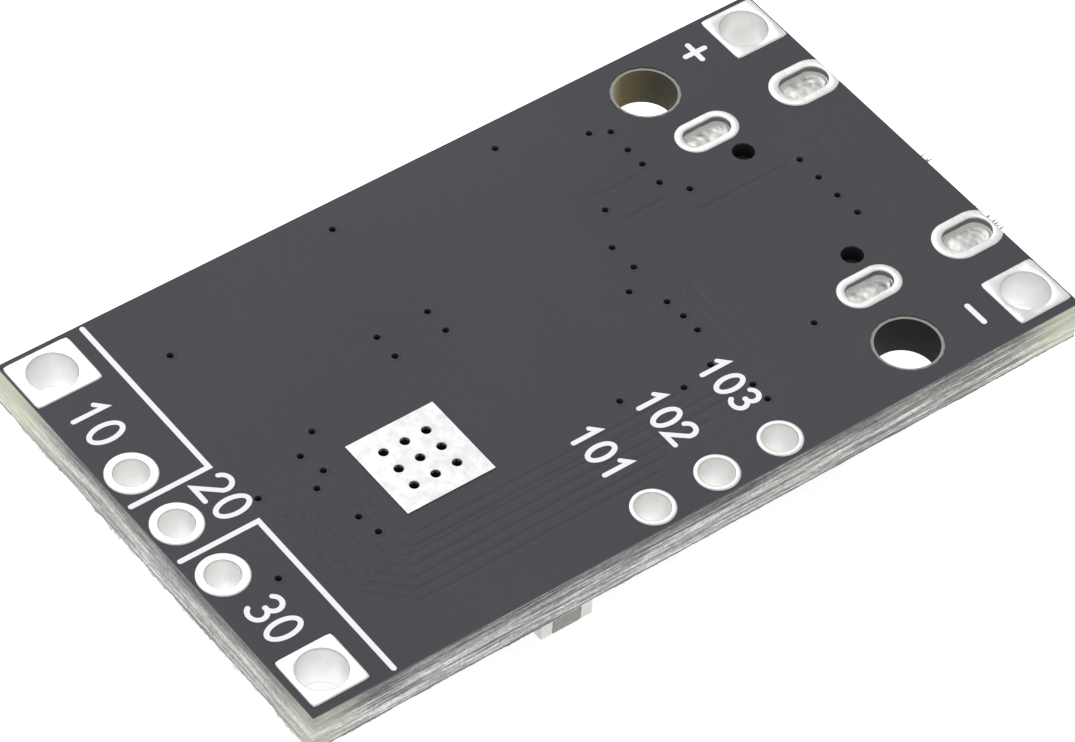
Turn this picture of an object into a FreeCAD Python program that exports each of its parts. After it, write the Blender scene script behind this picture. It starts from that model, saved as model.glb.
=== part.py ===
import FreeCAD, Part
import math
import os
import re
import Sketcher

# Charger module for a two-cell lithium battery, solder side up.
# X runs from the battery end to the socket end, Y from the near long edge to the far one, Z up.
# The origin is under the middle of the whole object, at the lowest point of the socket's shell.

# Driving sizes in millimetres, each set by itself

SIZES = {
    # Board
    "board_length": 30.4,  # battery end to socket end
    "board_width": 17.55,  # near long edge to far long edge
    "core_thickness": 1.5,  # bare laminate
    "coat": 0.05,  # copper and printed coat on each face
    "tin_rise": 0.04,  # tinned lands stand this far above the coat
    "plating": 0.06,  # wall of a plated hole
    # Charging socket, outside
    "shell_width": 8.94,
    "shell_height": 3.2,
    "shell_wall": 0.3,  # folded sheet
    "shell_length": 6.5,  # rear of the shell to its mouth
    "socket_overhang": 0.7,  # mouth beyond the board's end
    # Fixing holes
    "mount_radius": 1.1,  # fixing hole for an M2 screw
    "mount_ring": 0.12,  # bare ring round a fixing hole
    "mount_from_socket_end": 5.75,
    "mount_inset": 1.8,  # from each long edge
    # Plated holes at the battery end and on the near edge
    "pin_pitch": 2.54,
    "battery_pin_inset": 0.985,  # hole row from the battery end
    "battery_bore": 0.575,  # radius
    "battery_land": 0.89,  # radius
    "signal_pin_first": 13.6,  # first hole from the battery end
    "signal_pin_inset": 0.88,  # hole row from the near edge
    "signal_bore": 0.58,  # radius
    "signal_land": 0.77,  # radius
    # Corner pads
    "corner_bore": 0.825,  # radius
    "corner_land": 2.15,  # square land
    "corner_land_long": 2.5,  # longer land at the battery end, far side
    "corner_from_battery_end": 1.31,
    "corner_from_socket_end": 1.12,
    "corner_far_inset": 1.25,
    "corner_near_inset": 1.39,
    # Socket legs and their slots
    "leg_width": 1.1,
    "leg_short": 0.3,  # leg ends this far below the solder face
    "rear_slot_from_end": 5.2,
    "rear_slot_length": 1.8,
    "rear_slot_width": 0.86,
    "rear_land_length": 2.4,
    "rear_land_width": 1.44,
    "front_slot_from_end": 1.06,
    "front_slot_length": 1.84,
    "front_slot_width": 1.08,
    "front_land_length": 2.6,
    "front_land_width": 1.75,
    # Locating pegs of the socket
    "peg_from_end": 4.76,
    "peg_row": 2.89,
    "peg_radius": 0.3,
    "peg_clearance": 0.1,
    "peg_depth": 1.1,  # peg into the board
    # Small holes and heat pad
    "via_bore": 0.17,  # corner radius of a small connection hole
    "heat_bore": 0.17,
    "heat_pitch": 0.83,
    "heat_land": 3.4,  # bare square on the solder side
    # Charger chip
    "chip_x": 8.81,  # from the battery end
    "chip_y": 6.7,  # from the near edge
    "chip_side": 4.0,
    "chip_body_height": 0.6,
    "chip_lead_height": 0.15,
    "chip_lead_width": 0.25,
    "chip_lead_length": 0.42,
    "chip_lead_pitch": 0.5,
    "chip_slug": 2.7,
    "chip_lead_reach": 0.2,  # lead and its solder beyond the chip's side
    # Power inductor
    "inductor_x": 15.6,
    "inductor_y": 7.85,
    "inductor_length": 5.4,
    "inductor_width": 5.2,
    "inductor_height": 2.85,  # moulded core
    "inductor_corner": 0.4,
    "clip_thickness": 0.15,
    "clip_width": 2.6,
    "clip_foot": 1.3,  # under the core
    "clip_rise": 1.3,  # up the core's side
    # Lands and solder
    "land_reach": 0.35,  # land beyond a chip component's end
    "joint_rise": 0.55,  # solder climbs this share of the end cap
    "joint_reach": 0.32,  # solder beyond the component's end
    "joint_margin": 0.05,  # joint narrower than its land on each side
    "leg_solder_short": 0.38,  # solder in a leg slot ends this far below the solder face
    # Grooves in the solder side coat
    "track_pitch": 0.42,
    "groove_width": 0.24,  # at the coat's face
    "groove_depth": 0.014,
    "groove_floor": 0.06,  # width at the bottom
    "bundle_x": 3.96,  # outermost upright groove from the battery end
    "bundle_y": 1.91,  # outermost level groove from the near edge
    "bundle_turn": 3.36,  # y where it starts to bend
    "bundle_skew": 0.174,  # each inner groove bends this much later
    "inner_track_x": 6.3,
    "inner_track_y": 4.0,
    "inner_track_top": 6.2,
    "inner_track_end": 17.0,
    # Print
    "line_width": 0.22,  # printed line
    "line_height": 0.015,
    "frame_x": 3.13,  # printed frame from the battery end
    "frame_upper_row": 1.385,  # printed frames from the middle of the battery holes
    "frame_lower_row": 1.345,
    "frame_margin": 0.1,  # from the board's edges
    # Inside of the socket
    "block_rear": 0.1,  # insulator behind the shell's rear edge
    "block_length": 1.55,
    "tongue_width": 6.69,
    "tongue_thickness": 0.7,
    "tongue_recess": 0.6,  # tip behind the mouth
    "root_length": 0.6,
    "root_thickness": 1.3,
    "contact_pitch": 0.5,
    "contact_width": 0.25,
    "contact_thickness": 0.08,
    "contact_tip": 0.35,  # contact ends behind the tongue's tip
    "jog_length": 0.3,
    "foot_length": 0.75,
    "foot_thickness": 0.1,
    "foot_margin": 0.15,  # coat opening round the rows of feet
    "tail_thickness": 0.15,
    "plate_thickness": 0.14,
    "notch_width": 7.2,
    "notch_length": 1.7,
    "window_length": 1.5,
    "window_width": 0.7,
    "window_row": 2.2,
    "window_from_rear": 3.2,
    # Chip components
    "large_capacitor_length": 2.0,
    "large_capacitor_width": 1.25,
    "large_capacitor_height": 1.25,
    "large_capacitor_cap": 0.45,  # metal cap at each end
    "small_capacitor_length": 1.6,
    "small_capacitor_width": 0.8,
    "small_capacitor_height": 0.8,
    "small_capacitor_cap": 0.32,
    "large_resistor_length": 2.0,
    "large_resistor_width": 1.25,
    "large_resistor_height": 0.5,
    "large_resistor_cap": 0.4,
    "small_resistor_length": 1.6,
    "small_resistor_width": 0.8,
    "small_resistor_height": 0.45,
    "small_resistor_cap": 0.3,
    "resistor_coat": 0.05,  # dark coat over a resistor's body
    "lamp_length": 1.6,
    "lamp_width": 0.8,
    "lamp_height": 0.5,
    "lamp_cap": 0.3,
    "lamp_base": 0.2,  # board under the lens
}

# Sizes and places that follow from them

WORKED_OUT = {
    "battery_end": "-(board_length + socket_overhang) / 2",
    "socket_end": "battery_end + board_length",
    "near_edge": "-board_width / 2",
    "far_edge": "board_width / 2",
    "underside": "shell_height",  # component side face of the board
    "core_bottom": "underside + coat",
    "core_top": "core_bottom + core_thickness",
    "solder_face": "core_top + coat",
    "leg_row": "shell_width / 2 - shell_wall / 2",  # legs and slots each side of the socket's axis
    "mouth": "socket_end + socket_overhang",
    "shell_rear": "mouth - shell_length",
    "shell_middle": "shell_height / 2",
    "block_start": "shell_rear + block_rear",
    "block_front": "block_start + block_length",
    "tongue_tip": "mouth - tongue_recess",
    "chip_middle_x": "battery_end + chip_x",
    "chip_middle_y": "near_edge + chip_y",
}

# A place on the board is a pair: distance from the battery end, distance from the near long edge.
# A negative distance counts from the socket end, or from the far edge.

# Chip components: kind, node stem, place, way it lies
COMPONENTS = [
    ("large_capacitor", "edge_capacitor", 9.97, 0.98, "x"),
    ("large_capacitor", "output_capacitor", 4.9, 12.55, "y"),
    ("large_capacitor", "output_capacitor", 6.7, 12.55, "y"),
    ("large_capacitor", "output_capacitor", 8.5, 12.55, "y"),
    ("large_capacitor", "input_capacitor", 20.35, 7.2, "y"),
    ("large_capacitor", "input_capacitor", 20.35, 10.2, "y"),
    ("small_capacitor", "small_capacitor", 8.8, 9.9, "x"),
    ("small_capacitor", "small_capacitor", 11.75, 6.7, "y"),
    ("large_resistor", "balance_resistor", 3.9, 6.3, "y"),
    ("large_resistor", "balance_resistor", 3.9, 2.8, "y"),
    ("small_resistor", "small_resistor", 20.35, 4.1, "y"),
    ("small_resistor", "small_resistor", 16.2, 3.0, "x"),
    ("small_resistor", "small_resistor", 5.9, 2.1, "y"),
    ("small_resistor", "small_resistor", 7.3, 2.1, "y"),
    ("small_resistor", "small_resistor", 14.2, -2.75, "x"),
    ("small_resistor", "small_resistor", 16.8, -2.75, "x"),
    ("lamp", "indicator_lamp", 14.2, -1.15, "x"),
    ("lamp", "indicator_lamp", 16.8, -1.15, "x"),
]

# Small connection holes
VIAS = [
    (4.8, -2.75), (12.3, -1.1), (18.9, -1.1), (2.3, 5.15), (3.65, 8.2),
    (10.7, 11.7), (12.7, 11.7), (10.7, 10.7), (12.7, 10.7),
    (6.65, 9.55), (5.75, 8.9), (6.0, 8.0), (5.4, 7.5), (5.8, 5.8), (5.95, 4.95),
    (19.35, 10.6), (19.4, 9.5), (18.6, 8.7), (19.35, 7.65), (19.4, 6.85), (19.4, 6.1),
    (15.45, 5.05), (17.5, 4.35), (18.8, 4.65), (19.4, 3.2), (19.4, 2.45),
    (-8.5, -2.3), (-7.85, -2.65), (-7.9, -3.65), (-7.9, -4.45), (-7.95, 12.1), (-10.2, 12.1), (-7.3, 11.3),
    (-7.7, 4.2), (-3.45, 10.3), (-3.45, 9.3), (-3.45, 8.3), (-3.4, 7.3),
]

# Grooves beside the tracks of a bundle: each starts at this y and ends, after its bend, at this x
BUNDLE_RUNS = [(7.05, 14.8), (6.65, 15.3), (6.45, 17.3), (5.25, 18.8), (4.45, 18.8)]
# Straight grooves, from one place to another
STRAIGHT_RUNS = [
    ((20.4, 12.75), (22.1, 12.75)), ((20.4, 11.4), (22.2, 11.4)), ((22.9, 10.35), (26.5, 10.35)),
    ((20.0, 7.75), (20.0, 4.75)), ((20.45, 7.75), (20.45, 4.75)), ((28.05, 10.75), (28.05, 6.75)),
]

# Socket contacts, in contact pitches from the socket's axis: seat on the tongue, tail on the board
SEATS = (-5.5, -2.5, -1.5, -0.5, 0.5, 1.5, 2.5, 5.5)
BOARD_TAILS = (-6.7, -5.1, -3.5, -1.5, 0.5, 2.5, 4.5, 6.1)
OUTER_TAILS = [-tail for tail in BOARD_TAILS[::-1]]

# Sides of what is round but repeats, so that the whole object stays light
RING_SIDES = 18
LAND_SIDES = 14
PEG_SIDES = 12
BARREL_SIDES = 10
VIA_SIDES = 6
SLOT_STEPS = 5

DOC = FreeCAD.newDocument("charger_module")
SHEET = DOC.addObject("Spreadsheet::Sheet", "sizes")
NODES = []


# Helpers

def fill_sheet():
    """Give each size and each formula a named cell."""
    cells = {alias: str(value) for alias, value in SIZES.items()}
    cells.update({alias: "=" + text for alias, text in WORKED_OUT.items()})
    for row, (alias, content) in enumerate(cells.items(), 1):
        SHEET.set("A%d" % row, alias)
        SHEET.set("B%d" % row, content)
        SHEET.setAlias("B%d" % row, alias)
    DOC.recompute()


fill_sheet()


def cell(word):
    """A word of a formula, as a cell of the sheet where it names one."""
    name = word.group(0)
    return "sizes." + name if name in SIZES or name in WORKED_OUT else name


def formula(text):
    """The text with every size in it tied to its cell."""
    return re.sub(r"[a-z_]+", cell, text)



def number(text):
    """The value of a formula, in millimetres."""
    return float(SHEET.evalExpression(formula(text)))


def place(thing, x, y, z):
    """Bind the thing's place to the sheet."""
    thing.setExpression(".Placement.Base.x", formula(x))
    thing.setExpression(".Placement.Base.y", formula(y))
    thing.setExpression(".Placement.Base.z", formula(z))
    return thing


def box(x, y, z, length, width, height):
    """A block by its low corner and its sizes along X, Y and Z."""
    block = DOC.addObject("Part::Box", "block")
    block.setExpression("Length", formula(length))
    block.setExpression("Width", formula(width))
    block.setExpression("Height", formula(height))
    return place(block, x, y, z)


def middle_box(x, y, z, length, width, height):
    """A block by the middle of its floor."""
    return box("%s - (%s) / 2" % (x, length), "%s - (%s) / 2" % (y, width), z, length, width, height)


def rod(x, y, z, radius, height):
    """An upright cylinder."""
    cylinder = DOC.addObject("Part::Cylinder", "rod")
    cylinder.setExpression("Radius", formula(radius))
    cylinder.setExpression("Height", formula(height))
    return place(cylinder, x, y, z)


def many_sided(x, y, z, radius, height, sides):
    """An upright regular prism by its corner radius, for round things that repeat."""
    prism = DOC.addObject("Part::Prism", "prism")
    prism.Polygon = sides
    prism.setExpression("Circumradius", formula(radius))
    prism.setExpression("Height", formula(height))
    return place(prism, x, y, z)


def gather(members, label="gathered"):
    """Several separate solids as one object."""
    compound = DOC.addObject("Part::Compound", "gathered")
    compound.Links = members
    compound.Label = label
    return compound


def join(members):
    """Several touching or overlapping solids as one."""
    fused = DOC.addObject("Part::MultiFuse", "joined")
    fused.Shapes = members
    fused.Refine = True
    return fused


def cut(base, tools):
    """The base less every tool."""
    result = DOC.addObject("Part::Cut", "cut")
    result.Base = base
    result.Tool = tools[0] if len(tools) == 1 else gather(tools)
    result.Refine = True
    return result


def node(label, thing):
    """Name a finished sub-part; its label is also its file's name."""
    thing.Label = label
    NODES.append(thing)
    return thing


def body_sketch(body, role, offset="0"):
    """An empty sketch on one of the body's own planes."""
    sketch = body.newObject("Sketcher::SketchObject", "sketch")
    plane = [item for item in body.Origin.OriginFeatures if item.Role == role][0]
    sketch.AttachmentSupport = (plane, "")
    sketch.MapMode = "FlatFace"
    sketch.setExpression("AttachmentOffset.Base.z", formula(offset))
    return sketch


def pin_point(sketch, element, point, x, y):
    """Tie one point of the sketch to two formulas."""
    across = sketch.addConstraint(Sketcher.Constraint("DistanceX", -1, 1, element, point, number(x)))
    along = sketch.addConstraint(Sketcher.Constraint("DistanceY", -1, 1, element, point, number(y)))
    sketch.setExpression("Constraints[%d]" % across, formula(x))
    sketch.setExpression("Constraints[%d]" % along, formula(y))


def draw_outline(sketch, corners):
    """A closed outline of straight edges through corners given as formulas."""
    points = [FreeCAD.Vector(number(x), number(y), 0) for x, y in corners]
    first = sketch.GeometryCount
    count = len(points)
    for index in range(count):
        sketch.addGeometry(Part.LineSegment(points[index], points[(index + 1) % count]), False)
    for index in range(count):
        following = first + (index + 1) % count
        sketch.addConstraint(Sketcher.Constraint("Coincident", first + index, 2, following, 1))
        pin_point(sketch, first + index, 1, *corners[index])


def draw_circle(sketch, x, y, radius):
    """A circle by formulas for its centre and radius."""
    centre = FreeCAD.Vector(number(x), number(y), 0)
    index = sketch.addGeometry(Part.Circle(centre, FreeCAD.Vector(0, 0, 1), number(radius)), False)
    pin_point(sketch, index, 3, x, y)
    bound = sketch.addConstraint(Sketcher.Constraint("Radius", index, number(radius)))
    sketch.setExpression("Constraints[%d]" % bound, formula(radius))


def draw_slot(sketch, x, y, length, width):
    """A slot along the sketch's X axis, with half round ends, by its middle."""
    up = FreeCAD.Vector(0, 0, 1)
    radius = number(width) / 2
    reach = (number(length) - number(width)) / 2
    middle_x = number(x)
    middle_y = number(y)
    right = Part.Circle(FreeCAD.Vector(middle_x + reach, middle_y, 0), up, radius)
    left = Part.Circle(FreeCAD.Vector(middle_x - reach, middle_y, 0), up, radius)
    first = sketch.addGeometry(Part.ArcOfCircle(right, -math.pi / 2, math.pi / 2), False)
    second = sketch.addGeometry(Part.ArcOfCircle(left, math.pi / 2, 3 * math.pi / 2), False)
    high = [FreeCAD.Vector(middle_x + side * reach, middle_y + radius, 0) for side in (1, -1)]
    low = [FreeCAD.Vector(middle_x + side * reach, middle_y - radius, 0) for side in (-1, 1)]
    top = sketch.addGeometry(Part.LineSegment(*high), False)
    bottom = sketch.addGeometry(Part.LineSegment(*low), False)
    ring = (first, top, second, bottom)
    for one, other in zip(ring, ring[1:] + ring[:1]):
        sketch.addConstraint(Sketcher.Constraint("Tangent", one, 2, other, 1))
    pin_point(sketch, first, 3, "%s + (%s - %s) / 2" % (x, length, width), y)
    pin_point(sketch, second, 3, "%s - (%s - %s) / 2" % (x, length, width), y)
    bound = sketch.addConstraint(Sketcher.Constraint("Radius", first, radius))
    sketch.setExpression("Constraints[%d]" % bound, formula("%s / 2" % width))


def ring_corners(x, y, radius, sides):
    """Corners of a regular outline, the first one along X."""
    corners = []
    for index in range(sides):
        turn = 2 * math.pi * index / sides
        corners.append(("%s + %.6f * (%s)" % (x, math.cos(turn), radius),
                        "%s + %.6f * (%s)" % (y, math.sin(turn), radius)))
    return corners


def slot_corners(x, y, length, width):
    """Corners of a slot along X whose round ends have a few straight steps."""
    corners = []
    for side in (1, -1):
        for step in range(SLOT_STEPS + 1):
            turn = math.pi * (step / SLOT_STEPS - 0.5)
            reach = "(%s - %s) / 2 + %.6f * %s / 2" % (length, width, math.cos(turn), width)
            rise = "%.6f * %s / 2" % (math.sin(turn), width)
            corners.append(("%s + %d * (%s)" % (x, side, reach), "%s + %d * %s" % (y, side, rise)))
    return corners


def new_body(x="0", y="0", z="0"):
    """An empty body at a place given by formulas."""
    return place(DOC.addObject("PartDesign::Body", "body"), x, y, z)


def pad(body, sketch, length):
    """Extrude the sketch along its normal."""
    feature = body.newObject("PartDesign::Pad", "pad")
    feature.Profile = sketch
    feature.setExpression("Length", formula(length))
    DOC.recompute()
    return feature


def pocket_through(body, sketch):
    """Cut the sketch upwards through the whole body, and make sure that it cut something."""
    before = body.Shape.Volume
    feature = body.newObject("PartDesign::Pocket", "pocket")
    feature.Profile = sketch
    feature.Type = 1
    feature.Reversed = True
    DOC.recompute()
    if body.Shape.Volume > before - 1e-6:
        raise RuntimeError("a pocket of %s cut nothing" % body.Label)
    return feature


def repeat(body, feature, sketch, axis, pitch, count):
    """Repeat a feature in a row."""
    pattern = body.newObject("PartDesign::LinearPattern", "row")
    pattern.Originals = [feature]
    pattern.Direction = (sketch, [axis])
    pattern.Occurrences = count
    pattern.setExpression("Length", formula("(%d) * %s" % (count - 1, pitch)))
    body.Tip = pattern
    DOC.recompute()
    return pattern


def slot_block(x, y, z, length, width, height):
    """An upright block with half round ends."""
    body = new_body(x, y, z)
    sketch = body_sketch(body, "XY_Plane")
    draw_outline(sketch, slot_corners("0", "0", length, width))
    pad(body, sketch, height)
    return body


def from_battery(distance):
    return "battery_end + %s" % distance


def from_socket(distance):
    return "socket_end - %s" % distance


def from_near(distance):
    return "near_edge + %s" % distance


def from_far(distance):
    return "far_edge - %s" % distance


def board_x(distance):
    """A place along the board, from the battery end, or from the socket end where it is negative."""
    return "%s %+g" % ("battery_end" if distance >= 0 else "socket_end", distance)


def board_y(distance):
    """A place across the board, from the near edge, or from the far edge where it is negative."""
    return "%s %+g" % ("near_edge" if distance >= 0 else "far_edge", distance)


# Places that several pieces share

BATTERY_CORNERS_X = from_battery("corner_from_battery_end")
SOCKET_CORNERS_X = from_socket("corner_from_socket_end")
CORNERS = {
    "battery_far": (BATTERY_CORNERS_X, from_far("corner_far_inset"), "corner_land_long"),
    "battery_near": (BATTERY_CORNERS_X, from_near("corner_near_inset"), "corner_land"),
    "socket_far": (SOCKET_CORNERS_X, from_far("corner_far_inset"), "corner_land"),
    "socket_near": (SOCKET_CORNERS_X, from_near("corner_near_inset"), "corner_land"),
}
BATTERY_PINS = [(from_battery("battery_pin_inset"), "%d * pin_pitch" % step) for step in (-1, 0, 1)]
SIGNAL_PINS = [(from_battery("signal_pin_first + %d * pin_pitch" % step), from_near("signal_pin_inset"))
               for step in (0, 1, 2)]
SLOTS = [(row, side) for row in ("rear", "front") for side in (-1, 1)]
VIA_PLACES = [(board_x(x), board_y(y)) for x, y in VIAS]
HEAT_PLACES = [("chip_middle_x + %d * heat_pitch" % column, "chip_middle_y + %d * heat_pitch" % row)
               for column in (-1, 0, 1) for row in (-1, 0, 1)]


def slot_place(row, side):
    """The middle of one leg slot."""
    return from_socket("%s_slot_from_end" % row), "%d * leg_row" % side


# Laminate core: a routed plate with all its drilled holes

def laminate():
    """The bare board, cut by every plated and unplated hole."""
    body = new_body("battery_end", "near_edge", "core_bottom")
    outline = body_sketch(body, "XY_Plane")
    corners = [("0", "0"), ("board_length", "0"), ("board_length", "board_width"), ("0", "board_width")]
    draw_outline(outline, corners)
    pad(body, outline, "core_thickness")

    drills = body_sketch(body, "XY_Plane")
    for y in ("mount_inset", "board_width - mount_inset"):
        draw_circle(drills, "board_length - mount_from_socket_end", y, "mount_radius")
    for side in (-1, 1):
        y = "board_width / 2 + %d * peg_row" % side
        draw_outline(drills, ring_corners("board_length - peg_from_end", y,
                                          "peg_radius + peg_clearance", PEG_SIDES))
    for x in ("corner_from_battery_end", "board_length - corner_from_socket_end"):
        for y in ("corner_near_inset", "board_width - corner_far_inset"):
            draw_outline(drills, ring_corners(x, y, "corner_bore + plating", BARREL_SIDES))
    pocket_through(body, drills)

    battery = body_sketch(body, "XY_Plane")
    draw_outline(battery, ring_corners("battery_pin_inset", "board_width / 2 - pin_pitch",
                                       "battery_bore + plating", BARREL_SIDES))
    repeat(body, pocket_through(body, battery), battery, "V_Axis", "pin_pitch", 3)

    signal = body_sketch(body, "XY_Plane")
    draw_outline(signal, ring_corners("signal_pin_first", "signal_pin_inset",
                                      "signal_bore + plating", BARREL_SIDES))
    repeat(body, pocket_through(body, signal), signal, "H_Axis", "pin_pitch", 3)

    slots = body_sketch(body, "XY_Plane")
    for row, side in SLOTS:
        draw_outline(slots, slot_corners("board_length - %s_slot_from_end" % row,
                                         "board_width / 2 + %d * leg_row" % side,
                                         "(%s_slot_length + 2 * plating)" % row,
                                         "(%s_slot_width + 2 * plating)" % row))
    pocket_through(body, slots)

    holes = []
    for places, bore in ((VIA_PLACES, "via_bore"), (HEAT_PLACES, "heat_bore")):
        holes += [many_sided(x, y, "core_bottom", bore, "core_thickness", VIA_SIDES) for x, y in places]
    return cut(body, holes)


node("board_laminate", laminate())


# Plated pads: one piece of tinned copper from face to face

def hole_pad(x, y, bore, land):
    """A round land on each face, joined by a plated barrel with a true round bore."""
    lower = many_sided(x, y, "core_bottom - coat - tin_rise", land, "coat + tin_rise", LAND_SIDES)
    upper = many_sided(x, y, "core_top", land, "coat + tin_rise", LAND_SIDES)
    barrel = many_sided(x, y, "core_bottom", bore + " + plating", "core_thickness", BARREL_SIDES)
    hole = rod(x, y, "core_bottom - 1", bore, "core_thickness + 2")
    return cut(join([lower, barrel, upper]), [hole])


for index, (x, y) in enumerate(BATTERY_PINS):
    node("battery_hole_pad_%d" % (index + 1), hole_pad(x, y, "battery_bore", "battery_land"))
for index, (x, y) in enumerate(SIGNAL_PINS):
    node("signal_hole_pad_%d" % (index + 1), hole_pad(x, y, "signal_bore", "signal_land"))


def corner_pad(x, y, length):
    """A square land on each face, joined by a plated barrel."""
    lower = middle_box(x, y, "core_bottom - coat - tin_rise", length, "corner_land", "coat + tin_rise")
    upper = middle_box(x, y, "core_top", length, "corner_land", "coat + tin_rise")
    barrel = many_sided(x, y, "core_bottom", "corner_bore + plating", "core_thickness", BARREL_SIDES)
    bore = rod(x, y, "core_bottom - 1", "corner_bore", "core_thickness + 2")
    return cut(join([lower, barrel, upper]), [bore])


for corner, (x, y, length) in CORNERS.items():
    node("corner_pad_" + corner, corner_pad(x, y, length))


def slot_pad(row, side):
    """A long land on each face, joined by a plated slot, ended at the board's edge."""
    x, y = slot_place(row, side)
    length = "%s_slot_length" % row
    width = "%s_slot_width" % row
    lands = [slot_block(x, y, z, "%s_land_length" % row, "%s_land_width" % row, height)
             for z, height in (("core_bottom - coat", "coat"), ("core_top", "coat + tin_rise"))]
    barrel = slot_block(x, y, "core_bottom", "(%s + 2 * plating)" % length, "(%s + 2 * plating)" % width,
                        "core_thickness")
    bore = slot_block(x, y, "core_bottom - 1", length, width, "core_thickness + 2")
    beyond = box("socket_end", y + " - 2", "0", "3", "4", "solder_face + 1")
    return cut(join(lands + [barrel]), [bore, beyond] if row == "front" else [bore])


for row in ("rear", "front"):
    node("slot_pads_" + row, gather([slot_pad(row, side) for side in (-1, 1)]))


def chip_square(z, side, height):
    """A square block over or under the middle of the chip."""
    return middle_box("chip_middle_x", "chip_middle_y", z, side, side, height)


def heat_pad():
    """A bare square with nine holes on the solder side, and the land of the chip's slug on the other."""
    top = chip_square("core_top", "heat_land", "coat + tin_rise")
    bottom = chip_square("underside", "chip_slug", "coat")
    bores = [many_sided(x, y, "core_top", "heat_bore", "coat + tin_rise", VIA_SIDES) for x, y in HEAT_PLACES]
    return gather([cut(top, bores), bottom])


node("heat_pad", heat_pad())


# Faint grooves in the solder side coat, where the copper under it has gaps beside its tracks

def strip_outline(points, width, height):
    """The outline of a strip of even width round straight runs, with mitred bends and square ends."""
    path = [FreeCAD.Vector(x, y, height) for x, y in points]
    path[0] -= (path[1] - path[0]).normalize() * (width / 2)
    path[-1] += (path[-1] - path[-2]).normalize() * (width / 2)
    sides = ([], [])
    for index, point in enumerate(path):
        before = (point - path[index - 1]).normalize() if index else None
        after = (path[index + 1] - point).normalize() if index + 1 < len(path) else None
        one = before or after
        other = after or before
        mean = (one + other).normalize()
        normal = FreeCAD.Vector(-mean.y, mean.x, 0)
        reach = width / 2 / normal.dot(FreeCAD.Vector(-one.y, one.x, 0))
        sides[0].append(point + normal * reach)
        sides[1].append(point - normal * reach)
    corners = sides[0] + sides[1][::-1]
    return Part.makePolygon(corners + [corners[0]])


def trough(points):
    """A groove with a narrow floor and sloping sides, up to the coat's face."""
    floor = strip_outline(points, number("groove_floor"), 0)
    rim = strip_outline(points, number("groove_width"), number("groove_depth"))
    return Part.makeLoft([floor, rim], True, True)


def on_board(x, y):
    """A place on the board in the object's frame, in millimetres."""
    return number(board_x(x)), number(board_y(y))


def bundle_run(step, start_y, end_x):
    """One groove of the bundle: down, round the 45 degree bend, and level."""
    x = number("bundle_x") + step * number("track_pitch")
    y = number("bundle_y") + step * number("track_pitch")
    turn = number("bundle_turn") + step * number("bundle_skew")
    return [on_board(*spot) for spot in [(x, start_y), (x, turn), (x + turn - y, y), (end_x, y)]]


def inner_run(side):
    """A groove on one side of the separate track near the heat pad."""
    x = number("inner_track_x + %d * track_pitch / 2" % side)
    y = number("inner_track_y + %d * track_pitch / 2" % side)
    bend = number("track_pitch")
    spots = [(x, number("inner_track_top")), (x, y + bend), (x + bend, y), (number("inner_track_end"), y)]
    return [on_board(*spot) for spot in spots]


def grooves():
    """All the grooves, as one set of shallow troughs in the coat's face."""
    paths = [bundle_run(step, *ends) for step, ends in enumerate(BUNDLE_RUNS)]
    paths += [inner_run(side) for side in (-1, 1)]
    paths += [[on_board(*start), on_board(*end)] for start, end in STRAIGHT_RUNS]
    feature = DOC.addObject("Part::Feature", "grooves")
    feature.Shape = Part.makeCompound([trough(path) for path in paths])
    return place(feature, "0", "0", "solder_face - groove_depth")


def pin_lands(z, height):
    """Round blocks of the size of the hole pads' lands."""
    blocks = [many_sided(x, y, z, "battery_land", height, LAND_SIDES) for x, y in BATTERY_PINS]
    return blocks + [many_sided(x, y, z, "signal_land", height, LAND_SIDES) for x, y in SIGNAL_PINS]


# Printed coats with an opening at every pad and hole

def coat_openings(z, height):
    """What both coats leave open: lands, slots, fixing holes and peg holes."""
    openings = pin_lands(z, height)
    for x, y, length in CORNERS.values():
        openings.append(middle_box(x, y, z, length, "corner_land", height))
    for row, side in SLOTS:
        x, y = slot_place(row, side)
        openings.append(slot_block(x, y, z, "%s_land_length" % row, "%s_land_width" % row, height))
    for y in (from_near("mount_inset"), from_far("mount_inset")):
        openings.append(many_sided(from_socket("mount_from_socket_end"), y, z,
                                   "mount_radius + mount_ring", height, RING_SIDES))
    for side in (-1, 1):
        openings.append(many_sided(from_socket("peg_from_end"), "%d * peg_row" % side, z,
                                   "peg_radius + peg_clearance", height, PEG_SIDES))
    return openings


def coat_blank(z):
    return box("battery_end", "near_edge", z, "board_length", "board_width", "coat")


def solder_side_coat():
    """The dark coat that the photo shows, with grooves beside the tracks."""
    openings = coat_openings("core_top", "coat")
    openings += [many_sided(x, y, "core_top", "via_bore", "coat", VIA_SIDES) for x, y in VIA_PLACES]
    openings.append(chip_square("core_top", "heat_land", "coat"))
    openings.append(grooves())
    return cut(coat_blank("core_top"), openings)


node("solder_side_coat", solder_side_coat())


# Charging socket: a folded shell on four legs, a moulded insulator, contacts and a plate in its tongue

SHELL_INSIDE = ("(shell_width - 2 * shell_wall)", "(shell_height - 2 * shell_wall)")


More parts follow.
